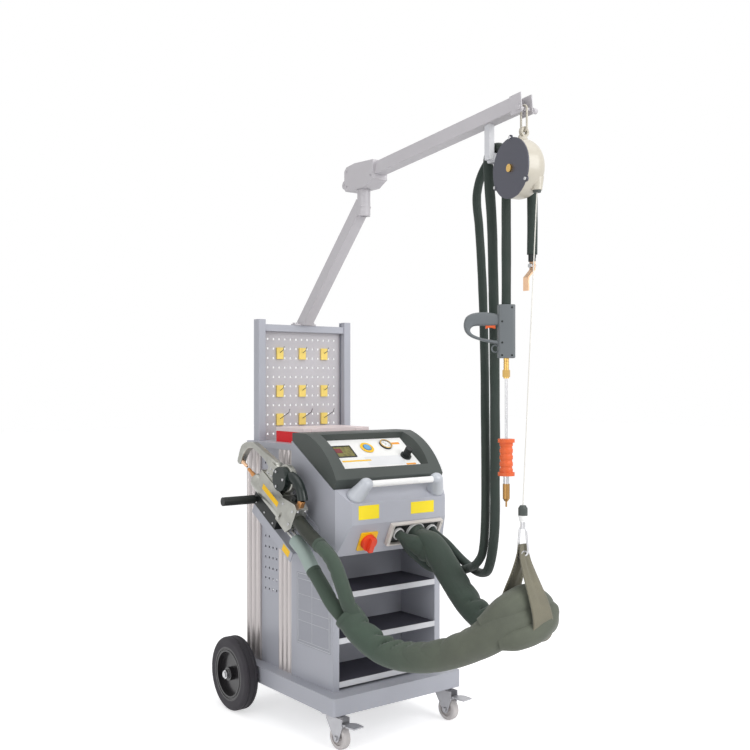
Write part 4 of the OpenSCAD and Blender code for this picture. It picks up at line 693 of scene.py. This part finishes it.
# painted shade: the sleeve's own cloth, darker on its run from the outlet
shaded_port_green = cloth("port_sleeve_cloth_shaded", "#39483e", fade=FRONT_GREEN, fade_from=-0.42, fade_to=-0.53)
lead_green = cloth("lead_cloth", "#2e3b35", 0.0013, 0.12)
hose_green = painted("gun_hose", "#9fafa9", 0.55, 900, 0.15, 0.9)
sling_olive = cloth("sling_cloth", "#827e6c", 0.0018, 0.2, 0.82)
thread = painted("sling_thread", "#b9b79d", 0.8, 2500, 0.4, 0.85)
rope_white = painted("rope_white", "#e6e4dc", 0.7, 1800, 0.5, 0.85)
dark_hose = painted("dark_hose", "#252920", 0.6, 900, 0.2, 0.85)
bracket_grey = painted("bracket_plastic", "#bcc0c7", 0.32, 700, 0.06, 0.95, coat=0.25)
field_print = painted("field_print", "#e4e5e7", 0.4, 900, 0.04, 0.98)
display = lit("display_face", "#77712f", "#4f4a24", 0.25)
display_red = lit("display_mark", "#7c1d22", "#5b1519", 0.2)
ink = painted("print_ink", "#2c2f33", 0.5, 900, 0.05, 0.9)
pale_print = painted("pale_print", "#d8dade", 0.45, 900, 0.04, 0.96)
orange_print = painted("orange_print", "#f2a01c", 0.4, 900, 0.04, 0.96)
plate_grey = painted("plate_grey", "#9b9da6", 0.38, 600, 0.05, 0.97)

finishes = {
    "base_tray cabinet_panels top_deck nose_housing bay_liner pegboard_frame gun_holder": painted(
        "grey_paint", "#aeb0b9", 0.4, 700, 0.1,
    ),
    "pegboard_panel mast boom_tube pivot_bracket": painted("boom_paint", "#c3c0c4", 0.42, 700, 0.1),
    "shelves cable_hanger": painted("light_paint", "#d3d4d8", 0.38, 700, 0.1),
    # the last factor darkens the pillars' grooves as painted shade
    "side_pillars": painted(
        "pillar_alloy", "#c4bebd", 0.34, 120, 0.08, 0.93, 5, metal=0.55, stretch=(12, 12, 0.4), crevice_shade=0.45,
    ),
    "console_hood rope_hook": hood,
    "control_panel": white_panel,
    "pressure_gauge regulator_knob c_gun_grips c_gun_trigger": black,
    "outlet_frame": painted("outlet_beige", "#d8d2cc", 0.45, 800, 0.1, 0.94),
    "panel_button": painted("blue_plastic", "#58a6dd", 0.25, 600, 0.05, 0.9, coat=0.4),
    "main_switch_knob": painted("switch_red", "#ee4a2c", 0.36, 600, 0.06, 0.92, spec=0.3),
    "tool_box": painted("red_plastic", "#e4202a", 0.4, 600, 0.06, 0.92, spec=0.2),
    "peg_hooks": painted("yellow_plastic", "#f9dc74", 0.4, 800, 0.1, 0.93),
    "main_switch_plate": label_yellow,
    "tool_box_lid": clear("clear_lid", "#f8eaea", 0.3, 0.76),
    "handle_tube": white_tube,
    # the last factor darkens corners as painted shade
    "caster_plates caster_fork_left caster_fork_right caster_brake_left caster_brake_right": painted(
        "zinc_plate", "#bcbcc0", 0.34, 260, 0.1, 0.84, 30, metal=0.6, crevice_shade=0.4,
    ),
    "rear_axle hammer_rod": steel,
    "c_gun_body": alloy,
    "c_gun_electrode": copper,
    "ground_lug": pale_copper,
    "stud_gun_trigger slide_hammer": painted("orange_rubber", "#e2622b", 0.5, 900, 0.2, 0.88),
    "rear_tyre_left rear_tyre_right": painted("tyre_rubber", "#302d33", 0.72, 500, 0.4, 0.75, 14),
    "rear_hub_left rear_hub_right": painted("hub_black", "#1f1d20", 0.3, 600, 0.08, 0.8, coat=0.2),
    "caster_wheel_left caster_wheel_right": painted("caster_tread", "#d0cbca", 0.5, 700, 0.15, 0.92),
    "shelf_mats": ribbed("mat_rubber", "#302f3a", 0.006, 0.75),
    "balancer_housing": painted("balancer_cream", "#c1bbad", 0.34, 520, 0.16, 0.94, coat=0.15),
    "balancer_cover": painted("balancer_slate", "#464753", 0.4, 600, 0.14, 0.9),
    "balancer_drum": dull_steel,
    "transformer": painted("core_steel", "#5a5c60", 0.5, 300, 0.3, 0.8, metal=0.6),
}
for names, material in finishes.items():
    for name in names.split():
        mesh = nodes[name].data
        mesh.materials.clear()
        mesh.materials.append(material)


def repaint(node, material, test, where=WELDER):
    """Another finish for the faces of a CAD node whose middle, in a frame's millimetres, passes the test."""
    mesh = nodes[node].data
    mesh.materials.append(material)
    back = where.inverted()
    for face in mesh.polygons:
        if test(back @ face.center):
            face.material_index = len(mesh.materials) - 1


def dress(obj, material, body=None):
    """A piece's finish, and the body it rides on if it hasn't been given one yet."""
    obj.data.materials.append(material)
    if body:
        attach(obj, body)
    return obj


# the run from the outlet and the flare take the darker cloth: painted shade
for piece in (main_pieces[0], flare):
    dress(piece, shaded_port_green)
for piece in main_pieces[1:] + bend_left + bend_right + gun_sleeves + hems + [main_hem]:
    dress(piece, sleeve_green)
for piece, material, rings in zip(gun_sleeves, (dark_hose, hose_green), hose_end):
    piece.data.materials.append(material)
    for face in piece.data.polygons[: GUN_SIDES * rings]:
        face.material_index = 1
for piece in leads:
    dress(piece, lead_green)
dress(rope, rope_white)
dress(sling, sling_olive)
dress(stitches, thread)


# Small solid shapes, in millimetres in a face's frame
def slab(name, where, size, at, material, edge=0.1):
    """A plate of the given size standing on the face at `at`, its top edges bevelled."""
    x, y, z = (*at, 0)[:3]
    w, h, t = size[0] / 2, size[1] / 2, size[2]
    rings = [(w, h, 0), (w, h, t - edge), (w - edge, h - edge, t)]
    verts = [
        where @ Vector((x + sx * rx, y + sy * ry, z + rise))
        for rx, ry, rise in rings
        for sx, sy in ((-1, -1), (1, -1), (1, 1), (-1, 1))
    ]
    faces = end_faces(3, 4) + ring_faces(3, 4)
    return dress(mesh_object(name, verts, faces), material, "base")


def soft_mesh(name, verts, faces, angle):
    """A smooth mesh, but for edges sharper than the angle."""
    obj = mesh_object(name, verts, faces, smooth=True)
    obj.data.set_sharp_from_angle(angle=math.radians(angle))
    return obj


def lathe(name, where, profile, material, body="base", sides=40):
    """A turned shape about the frame's z axis, from (radius, height) pairs."""
    angles = [2 * math.pi * k / sides for k in range(sides)]
    verts = [where @ Vector((r * math.cos(a), r * math.sin(a), z)) for r, z in profile for a in angles]
    faces = ring_faces(len(profile), sides)
    if profile[0] != profile[-1]:
        faces += end_faces(len(profile), sides)
    return dress(soft_mesh(name, verts, faces, 35), material, body)


def ring_of(name, where, r_in, r_out, height, material, body="base", sides=56):
    """A flat ring with a chamfered outer edge."""
    edge = [(r_out, 0), (r_out, height * 0.7), (r_out - height * 0.3, height)]
    profile = [(r_in, 0)] + edge + [(r_in, height), (r_in, 0)]
    return lathe(name, where, profile, material, body, sides)


def joined(name, parts):
    """Several pieces of one finish as one object."""
    verts, faces = [], []
    for p in parts:
        faces += numbered_from(len(verts), [f.vertices for f in p.data.polygons])
        verts += [p.matrix_world @ v.co for v in p.data.vertices]
    material = parts[0].data.materials[0]
    for p in parts:
        bpy.data.objects.remove(p)
    dress(mesh_object(name, verts, faces), material, "base")


def screw(name, where, d, body="base", material=steel, height=None):
    """A pan head with a round socket."""
    h = height or d * 0.35
    r = d / 2
    socket = [(r * 0.45, h), (r * 0.43, h * 0.45), (0.01, h * 0.4)]
    head = [(r, 0), (r, h * 0.55), (r * 0.86, h * 0.9), (r * 0.5, h)] + socket
    lathe(name, where, head, material, body, 24)


def number(name, text, where, size, material):
    """A plain number, as flat raised print."""
    curve = bpy.data.curves.new(name, "FONT")
    curve.body = text
    curve.size = size
    curve.align_x = curve.align_y = "CENTER"
    curve.extrude = 0.1
    holder = new_object(name, curve)
    bpy.context.view_layer.update()
    mesh = bpy.data.meshes.new_from_object(holder)
    bpy.data.objects.remove(holder)
    mesh.transform(where)
    mesh.materials.clear()
    dress(new_object(name, mesh), material, "base")


def rounded(outline, r, steps=5):
    """An outline with its corners rounded by about r."""
    out = []
    for i, p in enumerate(outline):
        p, a, b = Vector(p), Vector(outline[i - 1]), Vector(outline[(i + 1) % len(outline)])
        reach = min(r, (a - p).length * 0.45, (b - p).length * 0.45)
        first, last = p + (a - p).normalized() * reach, p + (b - p).normalized() * reach
        for k in range(steps + 1):
            t = k / steps
            out.append(first * (1 - t) ** 2 + p * 2 * t * (1 - t) + last * t * t)
    return out


def prism(name, where, outline, low, high, r, material, body="base"):
    """An outline, running counter-clockwise, raised from low to high with edges rounded by r."""
    n = len(outline)
    ways = [(outline[(i + 1) % n] - outline[i - 1]).normalized() for i in range(n)]
    inward = [Vector((-way.y, way.x)) for way in ways]
    quarter = [(r * (1 - math.sin(t)), r * (1 - math.cos(t))) for t in (math.pi * k / 8 for k in range(5))]
    rings = [(inset, low + rise) for inset, rise in quarter]
    rings += [(inset, high - rise) for inset, rise in quarter[::-1]]
    verts = [where @ Vector((*(p + q * inset), z)) for inset, z in rings for p, q in zip(outline, inward)]
    faces = end_faces(len(rings), n) + ring_faces(len(rings), n)
    return dress(soft_mesh(name, verts, faces, 40), material, body)


def soft_curve(points, steps=5):
    """A smooth run through points in a plane."""
    pts = [Vector(p) for p in points]
    ends = [2 * pts[0] - pts[1]] + pts + [2 * pts[-1] - pts[-2]]
    out = []
    for i in range(1, len(ends) - 2):
        p0, p1, p2, p3 = ends[i - 1 : i + 3]
        square, cube = 2 * p0 - 5 * p1 + 4 * p2 - p3, 3 * p1 - p0 - 3 * p2 + p3
        for k in range(steps):
            t = k / steps
            out.append(0.5 * (2 * p1 + (p2 - p0) * t + square * t**2 + cube * t**3))
    return out + [pts[-1]]


def bow(name, where, outer, inner, thick, material, body, corner=0.64, sides=40):
    """A handle's bow: a soft-cornered section between an outer and an inner line, in the frame's x and z."""
    verts = []
    for a, b in zip(soft_curve(outer), soft_curve(inner)):
        middle, half = (a + b) / 2, (a - b) / 2
        for k in range(sides):
            t = 2 * math.pi * k / sides
            u, v = (math.copysign(abs(f) ** corner, f) for f in (math.cos(t), math.sin(t)))
            p = middle + half * u
            verts.append(where @ Vector((p.x, v * thick / 2, p.y)))
    rings = len(verts) // sides
    faces = [(a, d, c, b) for a, b, c, d in ring_faces(rings, sides)]
    faces += [face[::-1] for face in end_faces(rings, sides)]
    return dress(soft_mesh(name, verts, faces, 60), material, body)


def moulded(name, where, balls, material):
    """Balls, each (middle, radii, tilt about x), grown together into one soft moulding."""
    verts, faces, around, down = [], [], 24, 14
    for middle, radii, tilt in balls:
        faces += numbered_from(len(verts), [(a, d, c, b) for a, b, c, d in ring_faces(down + 1, around)])
        spot = where @ Matrix.Translation(middle) @ turn(tilt, "X")
        for i in range(down + 1):
            t = math.pi * i / down
            for k in range(around):
                f = 2 * math.pi * k / around
                ball = (math.sin(t) * math.cos(f), math.sin(t) * math.sin(f), math.cos(t))
                verts.append(spot @ Vector([q * e for q, e in zip(ball, radii)]))
    rough = mesh_object(name + "_rough", verts, faces)
    remesh = rough.modifiers.new("grow", "REMESH")
    remesh.mode, remesh.voxel_size = "VOXEL", 1.8 * MM
    relax = rough.modifiers.new("relax", "SMOOTH")
    relax.factor, relax.iterations = 0.5, 14
    grown = rough.evaluated_get(bpy.context.evaluated_depsgraph_get())
    mesh = bpy.data.meshes.new_from_object(grown)
    bpy.data.objects.remove(rough)
    mesh.polygons.foreach_set("use_smooth", [True] * len(mesh.polygons))
    mesh.materials.clear()
    return dress(new_object(name, mesh), material, "base")


# Control panel: display, button ring, gauge dial and bare labels
slab("display_face", PANEL, (68, 50, 0.8), (-108, 92), display, edge=0.2)
slab("display_mark", PANEL, (26, 22, 0.4), (-128, 97, 0.8), display_red)
ring_of("button_ring", PANEL @ shift(-7, 105, 2), 14.2, 25, 0.8, label_yellow)
ring_of("button_bezel", PANEL @ shift(-7, 105, 2.1), 13.6, 16.4, 1.6, dull_steel)
slab("panel_strip", PANEL, (116, 7, 0.3), (-84, 44), label_yellow)
slab("panel_tab", PANEL, (38, 10, 0.3), (122, 122), orange_print)
slab("knob_tab", PANEL, (40, 8, 0.3), (124, 14), orange_print)
slab("panel_field", PANEL, (150, 46, 0.2), (30, 38), field_print)
GAUGE = PANEL @ shift(78, 116, 3)
DIAL_START, DIAL_SWEEP = 225, 270
lathe("gauge_dial", GAUGE, [(18.6, 0), (18.6, 0.4), (0.01, 0.4)], white_panel)
ticks = []
for i in range(21):
    length = 3.2 if i % 4 == 0 else 1.8
    face = GAUGE @ turn(DIAL_START - DIAL_SWEEP * i / 20, "Z") @ shift(16.6 - length / 2, 0, 0.4)
    ticks.append(slab(f"gauge_tick_{i}", face, (length, 0.5, 0.15), (0, 0), ink, edge=0.05))
joined("gauge_ticks", ticks)
for i in range(6):
    a = math.radians(DIAL_START - DIAL_SWEEP * i / 5)
    face = GAUGE @ shift(11 * math.cos(a), 11 * math.sin(a), 0.5)
    number(f"gauge_number_{i}", str(2 * i), face, 3.6, ink)
slab("gauge_needle", GAUGE @ turn(118, "Z"), (15, 0.9, 0.4), (5, 0, 0.9), ink)
lathe("gauge_boss", GAUGE, [(1.8, 0.4), (1.8, 1.6), (0.01, 1.9)], ink, sides=20)
lathe("gauge_glass", GAUGE, [(18.9, 2.2), (18.9, 2.6), (0.01, 3.0)], glass)
ring_of("gauge_rim", PANEL @ shift(78, 116, 6), 19, 23, 0.8, brass)

# Second finishes on CAD nodes made of more than one material
HOOK_PLATE = 8.5
hook_front = (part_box("peg_hooks")[1].y - ORIGIN.y) / MM - HOOK_PLATE
repaint("peg_hooks", dull_steel, lambda p: p.y < hook_front)  # the wires
repaint("hammer_rod", brass, lambda p: p.z > 1141)  # the chuck
repaint("hammer_rod", bronze, lambda p: p.z < 841.5)  # the tip
repaint("rope_hook", white_tube, lambda p: 744 < p.z < 762.5)  # the stopper's cone
repaint("rope_hook", steel, lambda p: p.z <= 744)  # the carabiner
repaint("ground_lug", steel, lambda p: abs(p.z - 1461) < 8 and abs(p.x - 73) > 4.2)  # the bolt
repaint("ground_lug", black, lambda p: p.z > 1472)  # the socket
# On the balancer: the cover's hub and screws, and the nozzle's tip
COVER_OUT = -41.2
repaint("balancer_cover", brass, lambda p: p.x < COVER_OUT and math.hypot(p.y, p.z) < 12, BALANCER)
repaint("balancer_cover", steel, lambda p: p.x < COVER_OUT and math.hypot(p.y, p.z) > 70, BALANCER)
repaint("balancer_housing", hood, lambda p: p.z < 1654 and math.hypot(p.x + 1.8, p.y + 597) < 12)
# In the cable outlet: the plate and the rings
repaint("outlet_frame", black, lambda p: abs(p.z - 3) < 0.3, LOWER)
PORTS = ((3, 20), (72, 34.5), (140, 20))
repaint(
    "outlet_frame", white_tube,
    lambda p: p.z > 3.3 and any(math.hypot(p.x - x, p.y + 45) < r + 0.6 for x, r in PORTS), LOWER,
)
repaint("c_gun_grips", gloss_black, lambda p: p.z > 60, GUN)  # the cap and its grip
repaint("c_gun_grips", steel, lambda p: p.y > 28.2 and p.z > 60, GUN)  # the cap's screws
repaint("c_gun_body", white_tube, lambda p: p.x < 57.5, GUN)
repaint("control_panel", black, lambda p: p.z > 0.3 and p.x < -60, PANEL)  # the display's frame

# Bare labels and plates
nose_y = (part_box("nose_housing")[0].y - ORIGIN.y) / MM
NOSE = WELDER @ shift(0, nose_y, 0) @ turn(90, "X")
slab("nose_label_left", NOSE, (80, 44, 0.5), (-125, 725), bright_label, edge=0.2)
slab("nose_label_right", NOSE, (97, 38, 0.5), (92.7, 725), bright_label, edge=0.2)
GUN_SIDE = GUN @ shift(212, 22, 20) @ turn(-90, "X")
slab("gun_label", GUN_SIDE, (108, 27, 0.5), (0, 0), label_yellow, edge=0.2)
side_x = (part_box("cabinet_panels")[0].x - ORIGIN.x) / MM
SIDE = WELDER @ Matrix(((0, 0, -1, side_x), (-1, 0, 0, 0), (0, 1, 0, 0), (0, 0, 0, 1)))
CHART = SIDE @ shift(-171.5, 394.5, 0)
slab("chart_plate", CHART, (195, 233, 0.3), (0, 0), plate_grey)
bars = [(190, 1.6, 0, 113), (190, 1.6, 0, -113), (1.6, 227, -94, 0), (1.6, 227, 94, 0)]
bars += [(176, 1.2, 0, y) for y in (96, 46, -6, -40, -104)]
bars += [(1.2, 200, x, -4) for x in (-8, -88, 88)]
lines = [
    slab(f"chart_line_{i}", CHART, (w, h, 0.2), (x, y, 0.3), pale_print, edge=0.05)
    for i, (w, h, x, y) in enumerate(bars)
]
joined("chart_lines", lines)

# Screws on the stud gun, and the eyelet of the cloth sling
STUD_H, STUD_W, STUD_T = 153, 49, 38
STUD = WELDER @ shift(31, -446.5, 1200) @ turn(142.8, "Z")
for i, (x, z) in enumerate(((-14, 144), (-14, 8), (14, 104), (14, 44), (14, 8))):
    for side, label in ((1, "front"), (-1, "back")):
        where = STUD @ shift(x, STUD_T / 2 * side, z) @ turn(-90 * side, "X")
        screw(f"stud_screw_{i}_{label}", where, 6, "boom", black, 0.8)
for side, label in ((1, "back"), (-1, "front")):
    where = WELDER @ shift(SLING_X, SLING_Y + 4.4 * side, EYELET_Z) @ turn(-90 * side, "X")
    ring_of(f"sling_eyelet_{label}", where, 8.6, 13, 1.6, steel, "sling", 36)

# The C-gun's arm, its clamp and the fittings on its body
FRAME_FACE = GUN @ turn(90, "X")
ARM_W, ARM_BACK = 26, 444
arm_line = rounded([
    (232, 66.1), (270, 66.1), (277, 86), (306, 95), (396, 87), (428, 66), (440, 38), (ARM_BACK, 22),
    (ARM_BACK, -12), (466, -12), (470, 34), (469, 54), (452, 77), (412, 103), (244, 127), (232, 116),
], 12)
arm = prism("c_gun_arm_casting", FRAME_FACE, arm_line, -ARM_W / 2, ARM_W / 2, 5, alloy)
TIP = GUN @ shift(ARM_BACK + 2, 0, 0) @ turn(-90, "Y")
tip_line = [(0.01, -4), (8, -4), (8, 4), (6, 7), (5.6, 24), (4.6, 29), (3.2, 31.4), (0.01, 32)]
arm_tip = lathe("c_gun_fixed_tip", TIP, tip_line, pale_copper)
for piece in (arm, arm_tip):
    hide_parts("c_gun_arm")
clamp_line = rounded([(222, 66.2), (280, 66.2), (272, 84), (266, 118), (226, 122)], 5)
CLAMP_T = 6
for label, low in (("left", -19.2), ("right", 13.2)):
    prism(f"c_gun_clamp_{label}", FRAME_FACE, clamp_line, low, low + CLAMP_T, 1.5, alloy)
CAP = GUN @ shift(186, 0, 105.1) @ turn(-90, "X")
seat_line = [(39.2, -13), (46, -13), (46, 4), (44, 6), (39.2, 6), (39.2, -13)]
lathe("c_gun_cap_seat", CAP, seat_line, alloy, sides=64)
LEFT_FACE = GUN @ turn(-90, "X")
for name, spots, out, size in (
    ("clamp_bolt", ((236, 104), (254, 100), (240, 80), (262, 78)), 19.2, 8),
    ("block_bolt", ((76, 56), (76, 8), (134, 46), (134, -8)), 22, 9),
    ("box_bolt", ((170, -58), (230, -58), (290, -58)), 10, 7),
):
    for i, (x, z) in enumerate(spots):
        screw(f"c_gun_{name}_{i}", LEFT_FACE @ shift(x, -z, out), size)
REAR_FACE = GUN @ shift(58, 0, 0) @ turn(-90, "Y")
for i, (y, z) in enumerate(((-14, 66), (14, 66), (0, 46))):
    screw(f"c_gun_rear_bolt_{i}", REAR_FACE @ shift(z, y, 0), 9)
terminal_line = rounded([(64, -98), (82, -98), (86, -75), (64, -75)], 3)
prism("c_gun_terminal", LEFT_FACE, terminal_line, -8, 8, 1.5, copper)
holder_lip = (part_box("gun_holder")[0].x - ORIGIN.x) / MM
HOLDER = GUN @ shift(62, GUN_X - holder_lip, -88) @ turn(-90, "X")
slab("holder_label", HOLDER, (44, 24, 0.4), (0, 0), label_yellow, edge=0.2)

# The handle's two moulded brackets
tube_lo, tube_hi = (WELDER.inverted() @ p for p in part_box("handle_tube"))
BARREL_IN, FOOT_OUT, FOOT_Y, FOOT_LIFT = 2.5, 19, 22, 4
NOSE_TOP, BAND_HIGH, NOSE_DEEP = 796, 755, 50
foot_slope = math.degrees(math.atan2(NOSE_TOP - BAND_HIGH, NOSE_DEEP))
foot_z = BAND_HIGH + FOOT_Y * (NOSE_TOP - BAND_HIGH) / NOSE_DEEP
tube_y, tube_z = (tube_lo.y + tube_hi.y) / 2, (tube_lo.z + tube_hi.z) / 2
BARREL_R, FOOT_R = Vector((23.5, 21, 21)), Vector((30, 28, 18))
for side, label in ((-1, "left"), (1, "right")):
    x = side * (tube_hi.x - BARREL_IN)
    barrel = Vector((x, tube_y, tube_z))
    foot = Vector((x + side * FOOT_OUT, FOOT_Y - FOOT_LIFT, foot_z + FOOT_LIFT))
    balls = [
        (barrel.lerp(foot, t), BARREL_R.lerp(FOOT_R, t), foot_slope * t)
        for t in (0, 0.15, 0.3, 0.45, 0.6, 0.75, 0.9, 1)
    ]
    bracket = moulded(f"handle_bracket_{label}", WELDER, balls, bracket_grey)
    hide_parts("handle_brackets")

# The stud gun's moulded body and its grip
w, t = STUD_W / 2, STUD_T / 2
body_line = rounded([(-w, -t), (w, -t), (w, t), (-w, t)], 9)
shell = prism("stud_gun_shell", STUD, body_line, 0, STUD_H, 3, gun_grey, "boom")
grip_outer = [
    (20, 125), (49, 130), (74, 131), (99, 127), (115, 117), (121, 102),
    (121, 87), (115, 72), (99, 59), (74, 50), (49, 44), (20, 38),
]
grip_inner = [
    (20, 93), (49, 92), (67, 92), (86, 92), (97, 89), (103, 82),
    (102, 74), (95, 67), (79, 60), (59, 55), (42, 52), (20, 50),
]
grip = bow("stud_gun_grip", STUD, grip_outer, grip_inner, 27, gun_grey, "boom")
EYE = STUD @ shift(31.5, 3, 27) @ turn(90, "X")
eye = ring_of("stud_gun_ring", EYE, 8, 12, 6, gun_grey, "boom")
for piece in (shell, grip, eye):
    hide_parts("stud_gun_body")

# Lights, floor and background
MIDDLE = Vector((0, -0.15, 0.9))


def area_light(name, at, size, power):
    """A lamp that faces the welder's middle; its place and size are in metres in the part's frame."""
    lamp = bpy.data.lights.new(name, "AREA")
    lamp.shape = "RECTANGLE"
    lamp.size, lamp.size_y = size
    lamp.energy = power
    obj = new_object(name, lamp)
    obj.location = at
    obj.rotation_euler = (MIDDLE - Vector(at)).to_track_quat("-Z", "Y").to_euler()


area_light("key_light", (0.9, -3.4, 2.5), (2.2, 2.4), 80)
area_light("fill_light", (-3.2, -1.2, 1.6), (2.0, 2.6), 30)
area_light("top_light", (0.0, -0.4, 4.0), (3.0, 3.0), 42)

n = Nodes("studio", world=True)
n.set(Color=(1, 1, 1, 1), Strength=n.between(n.in_view(), 0.5, 1.0, 0, 1))
bpy.context.scene.world = n.owner

floor = mesh_object("floor", [(-20, -20, 0), (20, -20, 0), (20, 20, 0), (-20, 20, 0)], [(0, 1, 2, 3)])
n = Nodes("pale_floor")
n.set(
    Base_Color=(0.86, 0.86, 0.87, 1),
    Roughness=0.8,
    Specular_IOR_Level=0.1,
    Emission_Color=(1, 1, 1, 1),
    Emission_Strength=n.between(n.in_view(), 0.0, 0.56, 0, 1),
)
floor.data.materials.append(n.owner)

bpy.context.scene.view_settings.view_transform = "Standard"
